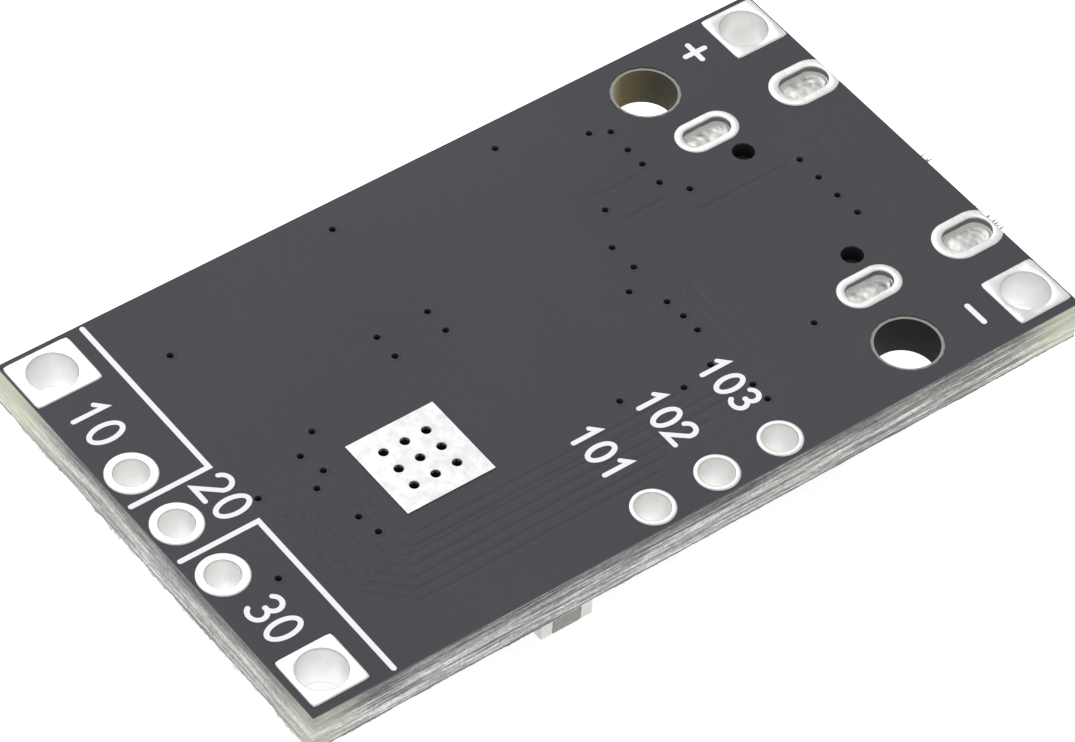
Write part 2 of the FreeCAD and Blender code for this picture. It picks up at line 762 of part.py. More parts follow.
def socket_shell():
    """A flat oval tube of folded sheet, open at the mouth, with legs that go up through the board."""
    body = new_body("shell_rear", "0", "0")
    outside = body_sketch(body, "YZ_Plane")
    draw_slot(outside, "0", "shell_middle", "shell_width", "shell_height")
    pad(body, outside, "shell_length")
    inside = body_sketch(body, "YZ_Plane")
    draw_slot(inside, "0", "shell_middle", *SHELL_INSIDE)
    pocket_through(body, inside)
    leg_height = "solder_face - leg_short - shell_middle"
    legs = [middle_box(*slot_place(row, side), "shell_middle", "leg_width", "shell_wall", leg_height)
            for row, side in SLOTS]
    notch = box("shell_rear", "-notch_width / 2", "shell_middle + root_thickness / 2",
                "notch_length", "notch_width", "shell_middle")
    windows = [middle_box("shell_rear + window_from_rear", "%d * window_row" % side, "0", "window_length",
                          "window_width", "shell_wall") for side in (-1, 1)]
    return cut(join([body] + legs), [notch] + windows)


def contact(row, seat, tail):
    """One contact: blade on the tongue, jog inside the block, and a tail with a foot on its land."""
    level = "shell_middle + tongue_thickness / 2 - contact_thickness"
    if row == "outer":
        level = "shell_middle - tongue_thickness / 2"
    seat_y = "%g * contact_pitch" % seat
    tail_y = "%g * contact_pitch" % tail
    low = min(seat, tail)
    jog_start = "block_start + block_length / 2"
    tail_start = "block_start - tail_thickness"
    blade = middle_box("(%s + tongue_tip - contact_tip) / 2" % jog_start, seat_y, level,
                       "(tongue_tip - contact_tip - (%s))" % jog_start, "contact_width", "contact_thickness")
    jog = box(jog_start, "%g * contact_pitch - contact_width / 2" % low, level, "jog_length",
              "%g * contact_pitch + contact_width" % abs(seat - tail), "contact_thickness")
    back = box(tail_start, tail_y + " - contact_width / 2", level,
               "tail_thickness + block_length / 2 + jog_length", "contact_width", "contact_thickness")
    drop = box(tail_start, tail_y + " - contact_width / 2", level, "tail_thickness", "contact_width",
               "core_bottom - (%s)" % level)
    foot = box(tail_start + " - foot_length", tail_y + " - contact_width / 2", "underside - foot_thickness",
               "foot_length", "contact_width", "foot_thickness + coat")
    return join([blade, jog, back, drop, foot])


def leg_solder(row, side):
    """Solder that fills one slot round its leg and stops short of the leg's end."""
    x, y = slot_place(row, side)
    fill = slot_block(x, y, "underside", "%s_slot_length" % row, "%s_slot_width" % row,
                      "solder_face - leg_solder_short - underside")
    leg = middle_box(x, y, "shell_middle", "leg_width", "shell_wall", "solder_face - shell_middle")
    return cut(fill, [leg])


def socket_insulator(contacts, plate):
    """The moulded block that fills the shell's rear, its tongue, and two pegs for the board."""
    body = new_body("block_start", "0", "0")
    section = body_sketch(body, "YZ_Plane")
    draw_outline(section, slot_corners("0", "shell_middle", *SHELL_INSIDE))
    pad(body, section, "block_length")
    saddle = box("block_start", "-notch_width / 2", "shell_middle", "block_length", "notch_width",
                 "underside - coat - shell_middle")
    root = box("block_front", "-tongue_width / 2", "shell_middle - root_thickness / 2",
               "root_length", "tongue_width", "root_thickness")
    tongue = box("block_front", "-tongue_width / 2", "shell_middle - tongue_thickness / 2",
                 "tongue_tip - block_front", "tongue_width", "tongue_thickness")
    pegs = [rod(from_socket("peg_from_end"), "%d * peg_row" % side, "shell_middle", "peg_radius",
                "underside + peg_depth - shell_middle") for side in (-1, 1)]
    return cut(join([body, saddle, root, tongue] + pegs), contacts + [plate])


node("socket_shell", socket_shell())
node("leg_solder", gather([leg_solder(row, side) for row, side in SLOTS]))
BOARD_ROW = gather([contact("board", *pair) for pair in zip(SEATS, BOARD_TAILS)])
OUTER_ROW = gather([contact("outer", *pair) for pair in zip(SEATS, OUTER_TAILS)])
MID_PLATE = middle_box("(block_front + tongue_tip) / 2", "0", "shell_middle - plate_thickness / 2",
                       "(tongue_tip - block_front)", "tongue_width", "plate_thickness")
node("socket_contacts_board_row", BOARD_ROW)
node("socket_contacts_outer_row", OUTER_ROW)
node("socket_mid_plate", MID_PLATE)
node("socket_insulator", socket_insulator([BOARD_ROW, OUTER_ROW], MID_PLATE))


# Charger chip: a flat square body over a ring of leads and a heat slug

def chip_sides():
    """Middle of each lead at the chip's rim: offsets from the chip's middle, and the way it points."""
    for step in (-2, -1, 0, 1, 2):
        along = "%g * chip_lead_pitch" % step
        for side in (-1, 1):
            yield "%d * (chip_side - chip_lead_length) / 2" % side, along, side, 0
            yield along, "%d * (chip_side - chip_lead_length) / 2" % side, 0, side


def chip_leads():
    """Leads that reach through the coat to their lands, and the slug on the heat pad's land."""
    leads = []
    reach = "(chip_lead_length + chip_lead_reach)"
    for x, y, across, up in chip_sides():
        length, width = (reach, "chip_lead_width") if across else ("chip_lead_width", reach)
        leads.append(middle_box("chip_middle_x + %s + %d * chip_lead_reach / 2" % (x, across),
                                "chip_middle_y + %s + %d * chip_lead_reach / 2" % (y, up),
                                "underside - chip_lead_height", length, width, "chip_lead_height + coat"))
    leads.append(middle_box("chip_middle_x", "chip_middle_y", "underside - chip_lead_height", "chip_slug",
                            "chip_slug", "chip_lead_height"))
    return leads


node("charger_chip_body", middle_box("chip_middle_x", "chip_middle_y",
                                     "underside - chip_lead_height - chip_body_height",
                                     "chip_side", "chip_side", "chip_body_height"))
node("charger_chip_leads", gather(chip_leads()))


# Power inductor: a moulded square core with cut corners, held by two clips

def inductor_core():
    body = new_body(from_battery("inductor_x"), from_near("inductor_y"),
                    "underside - clip_thickness - inductor_height")
    outline = body_sketch(body, "XY_Plane")
    far_x = "inductor_length / 2"
    far_y = "inductor_width / 2"
    cut_x = "inductor_length / 2 - inductor_corner"
    cut_y = "inductor_width / 2 - inductor_corner"
    draw_outline(outline, [(cut_x, "-" + far_y), (far_x, "-(%s)" % cut_y), (far_x, cut_y), (cut_x, far_y),
                           ("-(%s)" % cut_x, far_y), ("-" + far_x, cut_y), ("-" + far_x, "-(%s)" % cut_y),
                           ("-(%s)" % cut_x, "-" + far_y)])
    pad(body, outline, "inductor_height")
    return body


def inductor_clip(side):
    """A strip under the core's end that turns up its side."""
    rim = from_battery("inductor_x") + " + %d * inductor_length / 2" % side
    reach = "(clip_foot + clip_thickness)"
    foot = middle_box("%s + %d * (clip_thickness - clip_foot) / 2" % (rim, side), from_near("inductor_y"),
                      "underside - clip_thickness", reach, "clip_width", "clip_thickness")
    rise = middle_box("%s + %d * clip_thickness / 2" % (rim, side), from_near("inductor_y"),
                      "underside - clip_rise", "clip_thickness", "clip_width", "clip_rise")
    return join([foot, rise])


node("inductor_core", inductor_core())
node("inductor_clips", gather([inductor_clip(side) for side in (-1, 1)]))


# Chip components, their lands and their solder joints

def solder_joint(x, y, across, up, width, height):
    """A wedge of solder on a land: it climbs an end face at x, y and runs out along (across, up)."""
    wedge = DOC.addObject("Part::Wedge", "joint")
    outwards = FreeCAD.Rotation(FreeCAD.Vector(0, 0, 1), math.degrees(math.atan2(up, across)))
    downwards = FreeCAD.Rotation(FreeCAD.Vector(0, 1, 0), FreeCAD.Vector(0, 0, -1))
    wedge.Placement.Rotation = outwards * downwards
    for name in ("Xmin", "Ymin", "Zmin", "X2min", "X2max", "Z2min"):
        setattr(wedge, name, 0)
    for name, text in (("Xmax", "joint_reach"), ("Ymax", height), ("Zmax", width), ("Z2max", width)):
        wedge.setExpression(name, formula(text))
    start_x = "%s + %d * (%s) / 2" % (x, up, width)
    start_y = "%s - %d * (%s) / 2" % (y, across, width)
    return place(wedge, start_x, start_y, "underside")


def lying(way, x, y, shift, length, width, z, height):
    """A block on the component side, moved along the component's own length."""
    if way == "x":
        return middle_box("%s + %s" % (x, shift), y, z, length, width, height)
    return middle_box(x, "%s + %s" % (y, shift), z, width, length, height)


BODIES = {}
CAPS = {}
TOPS = {}
LANDS = []
JOINTS = []


def chip_component(kind, stem, x, y, way):
    """One two-ended component that hangs from its lands."""
    x = board_x(x)
    y = board_y(y)
    length, width, height, cap = ["%s_%s" % (kind, word) for word in ("length", "width", "height", "cap")]
    low = "underside - " + height
    inner = "(%s - 2 * %s)" % (length, cap)
    top = {"large_resistor": "resistor_coat", "small_resistor": "resistor_coat",
           "lamp": "(lamp_height - lamp_base)"}.get(kind)
    base_low = "%s + %s" % (low, top) if top else low
    base_height = "(%s - %s)" % (height, top) if top else height
    if top:
        TOPS.setdefault(stem, []).append(lying(way, x, y, "0", inner, width, low, top))
    BODIES.setdefault(stem, []).append(lying(way, x, y, "0", inner, width, base_low, base_height))
    cap_low, cap_height = (base_low, base_height) if kind == "lamp" else (low, height)
    for side in (-1, 1):
        shift = "%d * (%s - %s) / 2" % (side, length, cap)
        CAPS.setdefault(stem, []).append(lying(way, x, y, shift, cap, width, cap_low, cap_height))
        land_shift = "%d * (%s - %s + land_reach) / 2" % (side, length, cap)
        LANDS.append(lying(way, x, y, land_shift, "(%s + land_reach)" % cap, width, "underside", "coat"))
        across, up = (side, 0) if way == "x" else (0, side)
        end_x = "%s + %d * %s / 2" % (x, across, length)
        end_y = "%s + %d * %s / 2" % (y, up, length)
        JOINTS.append(solder_joint(end_x, end_y, across, up, "(%s - 2 * joint_margin)" % width,
                                   "joint_rise * (%s)" % cap_height))


for component in COMPONENTS:
    chip_component(*component)
for stem, blocks in BODIES.items():
    node(stem + "_body" if len(blocks) == 1 else stem + "_bodies", gather(blocks))
for stem, blocks in CAPS.items():
    node(stem + "_end_caps", gather(blocks))
node("balance_resistor_coats", gather(TOPS["balance_resistor"]))
node("small_resistor_coats", gather(TOPS["small_resistor"]))
node("indicator_lamp_lenses", gather(TOPS["indicator_lamp"]))

for side in (-1, 1):
    land_x = from_battery("inductor_x + %d * ((inductor_length - clip_foot) / 2 + land_reach)" % side)
    joint_x = from_battery("inductor_x + %d * (inductor_length / 2 + clip_thickness)" % side)
    LANDS.append(middle_box(land_x, from_near("inductor_y"), "underside",
                            "(clip_foot + 2 * land_reach)", "clip_width", "coat"))
    JOINTS.append(solder_joint(joint_x, from_near("inductor_y"), side, 0, "(clip_width - 2 * joint_margin)",
                               "joint_rise * clip_rise"))
node("component_lands", gather(LANDS))
node("solder_joints", gather(JOINTS))


def component_side_coat():
    """The hidden side's coat: small holes are closed, and close rows of lands share one opening."""
    openings = coat_openings("underside", "coat") + LANDS
    openings.append(chip_square("underside", "chip_slug", "coat"))
    row_length = "(5 * chip_lead_pitch)"
    row_reach = "(chip_lead_length + chip_lead_reach)"
    for side in (-1, 1):
        shift = " + %d * (chip_side - chip_lead_length + chip_lead_reach) / 2" % side
        for x, y, length, width in (("chip_middle_x" + shift, "chip_middle_y", row_reach, row_length),
                                    ("chip_middle_x", "chip_middle_y" + shift, row_length, row_reach)):
            openings.append(middle_box(x, y, "underside", length, width, "coat"))
    feet_x = "block_start - tail_thickness - foot_length / 2"
    feet_width = "(%g * contact_pitch + contact_width + 2 * foot_margin)" % (2 * max(OUTER_TAILS))
    openings.append(middle_box(feet_x, "0", "underside", "(foot_length + 2 * foot_margin)", feet_width, "coat"))
    return cut(coat_blank("underside"), openings)


node("component_side_coat", component_side_coat())


# Printed lines: flat bars of paint

def solder_side_print():
    """Two corner frames round the battery holes."""
    frames = []
    for row, low, high in (("frame_upper_row", "frame_upper_row - line_width / 2", from_far("frame_margin")),
                           ("-frame_lower_row", from_near("frame_margin"), "line_width / 2 - frame_lower_row")):
        upright = box(from_battery("frame_x - line_width / 2"), low, "solder_face",
                      "line_width", "%s - (%s)" % (high, low), "line_height")
        arm = box(from_battery("frame_margin"), row + " - line_width / 2", "solder_face",
                  "frame_x - frame_margin", "line_width", "line_height")
        frames.append(join([upright, arm]))
    return gather(frames)


def component_side_print():
    """Two brackets beside the inductor and a mark at the chip's first lead."""
    bars = []
    for side in (-1, 1):
        y = from_near("inductor_y + %d * (inductor_width / 2 + line_width)" % side)
        bars.append(middle_box(from_battery("inductor_x"), y, "underside - line_height",
                               "inductor_length", "line_width", "line_height"))
    bars.append(middle_box("chip_middle_x - chip_side / 2 - chip_lead_reach - line_width",
                           "chip_middle_y + chip_side / 2 + chip_lead_reach", "underside - line_height",
                           "line_width", "line_width", "line_height"))
    return gather(bars)


node("solder_side_print", solder_side_print())
node("component_side_print", component_side_print())


# Check everything, then write each sub-part

DOC.recompute()
for thing in DOC.Objects:
    if "Invalid" in thing.State or "Error" in thing.State:
        raise RuntimeError("%s (%s) is %s" % (thing.Name, thing.Label, thing.State))
os.makedirs("parts", exist_ok=True)
for thing in NODES:
    if thing.Shape.isNull() or not thing.Shape.isValid() or not thing.Shape.Solids:
        raise RuntimeError("%s has no valid solid" % thing.Label)
    thing.Shape.exportStep("parts/%s.step" % thing.Label)
    print("%-28s %3d solids %9.3f mm3" % (thing.Label, len(thing.Shape.Solids), thing.Shape.Volume))
print("%d nodes" % len(NODES))
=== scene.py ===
# %% [markdown]
# # Charger module on a light table
#
# The photo shows a small charger board for a lithium battery, solder side up, on pure white. The packed
# model gives every solid its place. This notebook gives the solids their finish, and redraws what a plain
# solid can't carry: the soft rims of the tinned pads, the ragged cut edges, and the printed numbers.

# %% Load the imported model
import math
import random
from collections import Counter

import bmesh
import bpy
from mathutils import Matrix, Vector


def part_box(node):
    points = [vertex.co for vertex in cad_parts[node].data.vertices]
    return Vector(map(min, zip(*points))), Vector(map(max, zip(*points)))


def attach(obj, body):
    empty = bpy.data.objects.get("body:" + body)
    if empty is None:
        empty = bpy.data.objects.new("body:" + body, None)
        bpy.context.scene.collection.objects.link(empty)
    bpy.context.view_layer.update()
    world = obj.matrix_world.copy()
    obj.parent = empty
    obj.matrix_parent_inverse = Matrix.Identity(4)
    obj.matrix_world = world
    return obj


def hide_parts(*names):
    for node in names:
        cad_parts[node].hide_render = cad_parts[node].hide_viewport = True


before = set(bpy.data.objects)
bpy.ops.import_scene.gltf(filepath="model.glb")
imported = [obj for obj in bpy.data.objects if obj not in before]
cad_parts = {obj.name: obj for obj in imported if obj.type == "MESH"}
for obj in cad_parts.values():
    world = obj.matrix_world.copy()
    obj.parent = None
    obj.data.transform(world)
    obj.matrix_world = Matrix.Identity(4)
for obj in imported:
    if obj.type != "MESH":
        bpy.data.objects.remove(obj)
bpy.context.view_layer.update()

print("CAD nodes:", len(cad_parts))

# %% [markdown]
# ## Where things are
#
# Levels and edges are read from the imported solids, so that nothing drawn here can drift from them. Places
# on the board are given as on a drawing of it: along from the battery end, and up from the near long
# edge, both in millimetres. Only what a bounding box can't tell, such as the radius of a bore, is written
# down here.

# %% Levels, edges and places
MM = 0.001
# Points nearer to each other than this are one point
SAME_PLACE = 0.001 * MM
LOW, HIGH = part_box("board_laminate")
LENGTH = (HIGH.x - LOW.x) / MM
WIDTH = (HIGH.y - LOW.y) / MM
MIDDLE_Y = (LOW.y + HIGH.y) / 2
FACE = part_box("solder_side_coat")[1].z
COAT_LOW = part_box("component_side_coat")[0].z
TIN_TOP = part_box("heat_pad")[1].z
TIN_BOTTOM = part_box("battery_hole_pad_1")[0].z


def on_board(along, up):
    """A point of the solder face, from the battery end and the near edge, in millimetres."""
    return Vector((LOW.x + along * MM, LOW.y + up * MM, FACE))


print("board in mm:", round(LENGTH, 2), "x", round(WIDTH, 2))
print("solder face at", round(FACE / MM, 2), "mm, tin at", round(TIN_TOP / MM, 2), "mm")

# %% [markdown]
# ## A plain surface, and noise to break it up
#
# No real finish is one flat value. A picture could bring the changes in, but here each finish is a node
# tree that works on the object's own coordinates: it needs no file, and it stays with the piece from any
# side. One helper makes a plain surface, one makes noise at a chosen scale, and one turns a value into
# colours.

# %% Helpers: surface, noise and colours
def surface(name, colour, roughness=0.5, metallic=0.0, specular=0.5):
    """A principled surface; returns the material, its tree and its shader."""
    material = bpy.data.materials.new(name)
    material.use_nodes = True
    tree = material.node_tree
    shader = tree.nodes["Principled BSDF"]
    shader.inputs["Base Color"].default_value = (*colour, 1)
    shader.inputs["Roughness"].default_value = roughness
    shader.inputs["Metallic"].default_value = metallic
    shader.inputs["Specular IOR Level"].default_value = specular
    return material, tree, shader


def place_noise(tree, count, detail=3.0):
    """Noise in object space; the count is of features per metre, for all axes or along X, Y and Z."""
    where = tree.nodes.new("ShaderNodeTexCoord")
    scaled = tree.nodes.new("ShaderNodeMapping")
    scaled.inputs["Scale"].default_value = count if isinstance(count, tuple) else (count, count, count)
    noise = tree.nodes.new("ShaderNodeTexNoise")
    noise.inputs["Scale"].default_value = 1.0
    noise.inputs["Detail"].default_value = detail
    tree.links.new(where.outputs["Object"], scaled.inputs["Vector"])
    tree.links.new(scaled.outputs["Vector"], noise.inputs["Vector"])
    return noise.outputs["Fac"]


def ramp(tree, value, stops):
    """Colours at positions along a value."""
    node = tree.nodes.new("ShaderNodeValToRGB")
    while len(node.color_ramp.elements) < len(stops):
        node.color_ramp.elements.new(1.0)
    for element, (position, colour) in zip(node.color_ramp.elements, stops):
        element.position = position
        element.color = (*colour, 1)
    tree.links.new(value, node.inputs["Fac"])
    return node.outputs["Color"]


print("helpers: surface, place_noise, ramp")

# %% [markdown]
# Noise can also change how glossy a place is, or how high it lies. Noise seldom leaves the range from 0.3
# to 0.7, so that range is stretched over the wanted one. Heights are given as real depths in metres.

# %% Helpers: gloss and relief
NOISE_LOW, NOISE_HIGH = 0.3, 0.7


def rescaled(tree, value, low, high, to_low=0.0, to_high=1.0):
    """A value moved from one range into another and held at its ends."""
    node = tree.nodes.new("ShaderNodeMapRange")
    for name, number in (("From Min", low), ("From Max", high), ("To Min", to_low), ("To Max", to_high)):
        node.inputs[name].default_value = number
    tree.links.new(value, node.inputs["Value"])
    return node.outputs["Result"]


def spread(tree, noise, low, high, socket):
    """Run noise between two limits, into a socket."""
    tree.links.new(rescaled(tree, noise, NOISE_LOW, NOISE_HIGH, low, high), socket)


def relief(tree, shader, value, depth):
    """Bump of a real depth in metres."""
    node = tree.nodes.new("ShaderNodeBump")
    node.inputs["Strength"].default_value = 1.0
    node.inputs["Distance"].default_value = depth
    tree.links.new(value, node.inputs["Height"])
    tree.links.new(node.outputs["Normal"], shader.inputs["Normal"])


print("noise from", NOISE_LOW, "to", NOISE_HIGH, "fills a range")

# %% [markdown]
# ## Coat and ink
#
# The coat is a matt dark grey lacquer, cured over etched copper. It is nearly even, so it only gets a
# slow change of tone, which keeps a large plain face from looking drawn, and a fine grain in gloss and
# relief. The ink is white, matt and slightly thick, and the strokes get their thickness from geometry
# further down.

# %% Coat and ink
COAT_TONES = [(0.25, (0.037, 0.041, 0.048)), (0.75, (0.047, 0.051, 0.059))]


def coat_material():
    material, tree, shader = surface("coat", (0.048, 0.05, 0.054), 0.5, 0.0, 0.32)
    tree.links.new(ramp(tree, place_noise(tree, 90, 2.0), COAT_TONES), shader.inputs["Base Color"])
    spread(tree, place_noise(tree, 9000), 0.46, 0.56, shader.inputs["Roughness"])
    relief(tree, shader, place_noise(tree, 7000), 0.0000015)
    return material


def ink_material():
    material, tree, shader = surface("ink", (0.97, 0.98, 1.0), 0.6)
    relief(tree, shader, place_noise(tree, 9000), 0.000002)
    return material


COAT = coat_material()
INK = ink_material()
print("materials:", COAT.name, INK.name)

# %% [markdown]
# ## Sums and masks inside a material
#
# The laminate looks different at its cut edges, in its holes and on its bare faces, yet it is one solid.
# It could be split, but then the pieces would meet in seams. Masks worked out in the material do it with
# none: which way the surface faces, how near it is to the board's outline, and how near to the axis of a
# hole.

# %% Helpers: sums, masks and mixed colours
def measure(tree, operation, value, other=None):
    """One arithmetic step on a value."""
    node = tree.nodes.new("ShaderNodeMath")
    node.operation = operation
    tree.links.new(value, node.inputs[0])
    if isinstance(other, float):
        node.inputs[1].default_value = other
    elif other is not None:
        tree.links.new(other, node.inputs[1])
    return node.outputs[0]


def facing(tree, axis):
    """How far the surface faces along an axis, from 0 to 1."""
    geometry = tree.nodes.new("ShaderNodeNewGeometry")
    parts = tree.nodes.new("ShaderNodeSeparateXYZ")
    tree.links.new(geometry.outputs["Normal"], parts.inputs["Vector"])
    return measure(tree, "ABSOLUTE", parts.outputs[axis])


def inside_mask(tree, split, margin):
    """1 away from the board's own edges, so in its holes, and 0 near them."""
    result = None
    for axis, low, high in (("X", LOW.x, HIGH.x), ("Y", LOW.y, HIGH.y)):
        away = measure(tree, "ABSOLUTE", measure(tree, "SUBTRACT", split.outputs[axis], (low + high) / 2))
        within = measure(tree, "LESS_THAN", away, (high - low) / 2 - margin)
        result = within if result is None else measure(tree, "MULTIPLY", result, within)
    return result


def near_point(tree, split, point, inner, outer, most=1.0):
    """The most within an inner radius of an upright axis, falling to 0 at the outer one."""
    across = measure(tree, "SUBTRACT", split.outputs["X"], point.x)
    along = measure(tree, "SUBTRACT", split.outputs["Y"], point.y)
    squares = measure(tree, "ADD", measure(tree, "MULTIPLY", across, across),
                      measure(tree, "MULTIPLY", along, along))
    return rescaled(tree, measure(tree, "SQRT", squares), inner, outer, most, 0.0)


def mix(tree, factor, one, two, blend="MIX"):
    """Two colours blended by a factor; each may be a value or a socket."""
    node = tree.nodes.new("ShaderNodeMix")
    node.data_type = "RGBA"
    node.blend_type = blend
    for value, socket in ((factor, node.inputs["Factor"]), (one, node.inputs[6]), (two, node.inputs[7])):
        if isinstance(value, (tuple, float)):
            socket.default_value = value
        else:
            tree.links.new(value, socket)
    return node.outputs[2]


def product(tree, result, *others):
    """Colours multiplied."""
    for other in others:
        result = mix(tree, 1.0, result, other, "MULTIPLY")
    return result


print("helpers: measure, facing, inside_mask, near_point, mix, product")

# %% [markdown]
# ## Cut edges of the laminate
#
# The laminate is glass cloth in resin. A cut shows its layers as pale broken streaks along the edge,
# greyer where it was routed than where it was snapped; painted shade darkens it up towards the coat.
# Real layers would be thousands of threads; noise that is stretched 26 times along the board gives the
# same streaks. Some corners of the real board are paler and greener, and a soft patch round each of them
# brings that back.

# %% Cut edges
CLOTH_STREAKS = (420, 420, 11000)
THREAD_STREAKS = (3500, 3500, 16000)
ROUTED = [(0.36, (0.22, 0.222, 0.222)), (0.5, (0.49, 0.495, 0.495)), (0.64, (0.85, 0.857, 0.855))]
SNAPPED = [(0.36, (0.34, 0.342, 0.338)), (0.5, (0.56, 0.562, 0.557)), (0.64, (0.86, 0.863, 0.855))]
THREADS = [(0.35, (0.62, 0.62, 0.62)), (0.6, (1, 1, 1))]
GRAIN = [(0.36, (0.74, 0.74, 0.73)), (0.56, (1, 1, 1))]
STAIN = [(0.58, (1, 1, 1)), (0.8, (0.97, 0.97, 0.88))]
# Painted shade, from the component side (lighter) up to the solder side (darker)
SHADE = [(0.0, (1, 1, 0.985)), (0.55, (0.9, 0.9, 0.88)),
         (0.75, (0.52, 0.52, 0.51)), (1.0, (0.4, 0.4, 0.39))]
# Corners where the resin shows pale: place, reach in millimetres and strength
PALE_CORNERS = [(on_board(0, WIDTH), 4.5, 0.6), (on_board(LENGTH, 0), 2.6, 0.55),
                (on_board(0, 0), 2.2, 0.35)]
PALE_GREEN = (0.66, 0.67, 0.52, 1)


def cut_edge(tree, split):
    """Streaks of cloth, with finer threads and grain, painted shade by height, and stained here and there.
    """
    strands = place_noise(tree, CLOTH_STREAKS, 8.0)
    cloth = mix(tree, facing(tree, "X"), ramp(tree, strands, ROUTED), ramp(tree, strands, SNAPPED))
    threads = ramp(tree, place_noise(tree, THREAD_STREAKS, 6.0), THREADS)
    grain = ramp(tree, place_noise(tree, 9000), GRAIN)
    # Painted shade: the edge darkens from the component side up towards the coat
    shade = ramp(tree, rescaled(tree, split.outputs["Z"], LOW.z, HIGH.z), SHADE)
    yellow = ramp(tree, place_noise(tree, 110, 2.0), STAIN)
    return product(tree, cloth, threads, grain, shade, yellow)


def pale_corners(tree, split):
    """How pale the resin is: the strongest of the corners' patches."""
    result = None
    for corner, reach, strength in PALE_CORNERS:
        patch = near_point(tree, split, corner, 0.25 * reach * MM, reach * MM, strength)
        result = patch if result is None else measure(tree, "MAXIMUM", result, patch)
    return result


print("pale corners:", len(PALE_CORNERS))

# %% [markdown]
# ## Holes and bare rings of the laminate
#
# Inside a drilled hole the resin is smooth, and its wall is painted dark as painted shade. The far fixing
# hole is seen from the side that the light reaches, so painted light in the resin's olive tint is put on
# its wall and fades round it. The laminate's top shows only where the coat stays back from a fixing hole,
# as a thin grey ring. The masks choose between these and the cut edge.

# %% Laminate
FAR_HOLE = on_board(LENGTH - 5.75, WIDTH - 1.8)
FIXING_RADIUS = 1.15 * MM
# The painted light on the wall is full inside the first radius and gone beyond the second
PAINTED_LIGHT_REACH = (1.4 * MM, 1.5 * MM)
EDGE_MARGIN = 0.08 * MM
BARE_RING = (0.36, 0.353, 0.325, 1)
PAINTED_SHADE_WALL = (0.018, 0.018, 0.019, 1)
PAINTED_LIGHT_WALL = [(0.15, (0.55, 0.5, 0.32)), (0.42, (0.2, 0.17, 0.085)), (0.9, (0.07, 0.064, 0.045))]


def laminate_material():
    material, tree, shader = surface("laminate", (0.5, 0.5, 0.45), 0.75, 0.0, 0.25)
    where = tree.nodes.new("ShaderNodeTexCoord")
    split = tree.nodes.new("ShaderNodeSeparateXYZ")
    tree.links.new(where.outputs["Object"], split.inputs["Vector"])
    edge = mix(tree, pale_corners(tree, split), cut_edge(tree, split), PALE_GREEN)
    # Painted light on the far fixing hole's wall, in an olive tint, brightest towards the battery end
    across = rescaled(tree, split.outputs["X"], FAR_HOLE.x - FIXING_RADIUS, FAR_HOLE.x + FIXING_RADIUS)
    olive = ramp(tree, across, PAINTED_LIGHT_WALL)
    # Painted shade on the walls of the holes, with the painted light round the far fixing hole
    wall = mix(tree, near_point(tree, split, FAR_HOLE, *PAINTED_LIGHT_REACH), PAINTED_SHADE_WALL, olive)
    upright = mix(tree, inside_mask(tree, split, EDGE_MARGIN), edge, wall)
    finished = mix(tree, measure(tree, "GREATER_THAN", facing(tree, "Z"), 0.5), upright, BARE_RING)
    tree.links.new(finished, shader.inputs["Base Color"])
    relief(tree, shader, place_noise(tree, (2500, 2500, 12000), 8.0), 0.00003)
    return material


LAMINATE = laminate_material()
print("material:", LAMINATE.name, "with", len(LAMINATE.node_tree.nodes), "nodes")

# %% [markdown]
# ## Tin, solder and steel
#
# The pads are copper levelled with hot tin, which sets bright with soft waves: a light metal with a low,
# slow relief. One recipe covers all the metals here, told apart by colour, gloss, and the size and depth
# of their waves. The tin of the bores is painted paler as painted light, because light that goes round in
# a bright tube comes out brighter than the few bounces of a render can show, and a little less in the
# corner pads' wider bores; beside the legs in the narrow slots it is painted darker as painted shade.
# The socket's shell is plated sheet, a little darker than the pads and with a finer grain.

# %% Metals
# How far gloss changes with the waves
SMOOTHER, ROUGHER = 0.05, 0.08


def metal(name, colour, roughness, wave, depth):
    """A metal whose relief has waves of the given count per metre and depth in metres."""
    material, tree, shader = surface(name, colour, roughness, 1.0)
    grain = place_noise(tree, wave, 2.0)
    spread(tree, grain, roughness - SMOOTHER, roughness + ROUGHER, shader.inputs["Roughness"])
    relief(tree, shader, grain, depth)
    return material


TIN = metal("tin", (0.74, 0.74, 0.733), 0.3, 1800, 0.000012)
FLAT_TIN = metal("flat_tin", (0.575, 0.577, 0.58), 0.36, 2600, 0.000012)
# Painted light: the bores' tin is paler, and the corner pads' wider bores a little less
PAINTED_LIGHT_BORE = metal("bore_painted_light", (0.94, 0.94, 0.93), 0.58, 1500, 0.00002)
PAINTED_LIGHT_CORNER_BORE = metal("corner_bore_painted_light", (0.84, 0.84, 0.83), 0.55, 1500, 0.00002)
# Painted shade: the tin in the slots beside the legs is darker
PAINTED_SHADE_SLOT = metal("slot_painted_shade", (0.34, 0.34, 0.335), 0.4, 1500, 0.00002)
SOLDER = metal("solder", (0.72, 0.72, 0.73), 0.28, 2500, 0.00001)
LEG_SOLDER = metal("leg_solder", (0.56, 0.56, 0.545), 0.4, 1300, 0.00016)
STEEL = metal("steel", (0.62, 0.61, 0.595), 0.33, 6000, 0.000002)
END_CAP = metal("end_cap", (0.57, 0.56, 0.54), 0.42, 4000, 0.00001)
GOLD = metal("gold", (0.85, 0.66, 0.32), 0.25, 6000, 0.000001)
print("materials so far:", len(bpy.data.materials))

# %% [markdown]
# ## Ceramic, resin and glaze
#
# Fired ceramic is matt and slightly grainy, moulded resin is nearly black, the inductor is pressed from
# grey powder, and resistors carry a glossy glaze. All are plain surfaces with a grain of their own size,
# so one helper with a few choices makes them.

# %% Component finishes
DARKER, LIGHTER = 0.85, 1.12


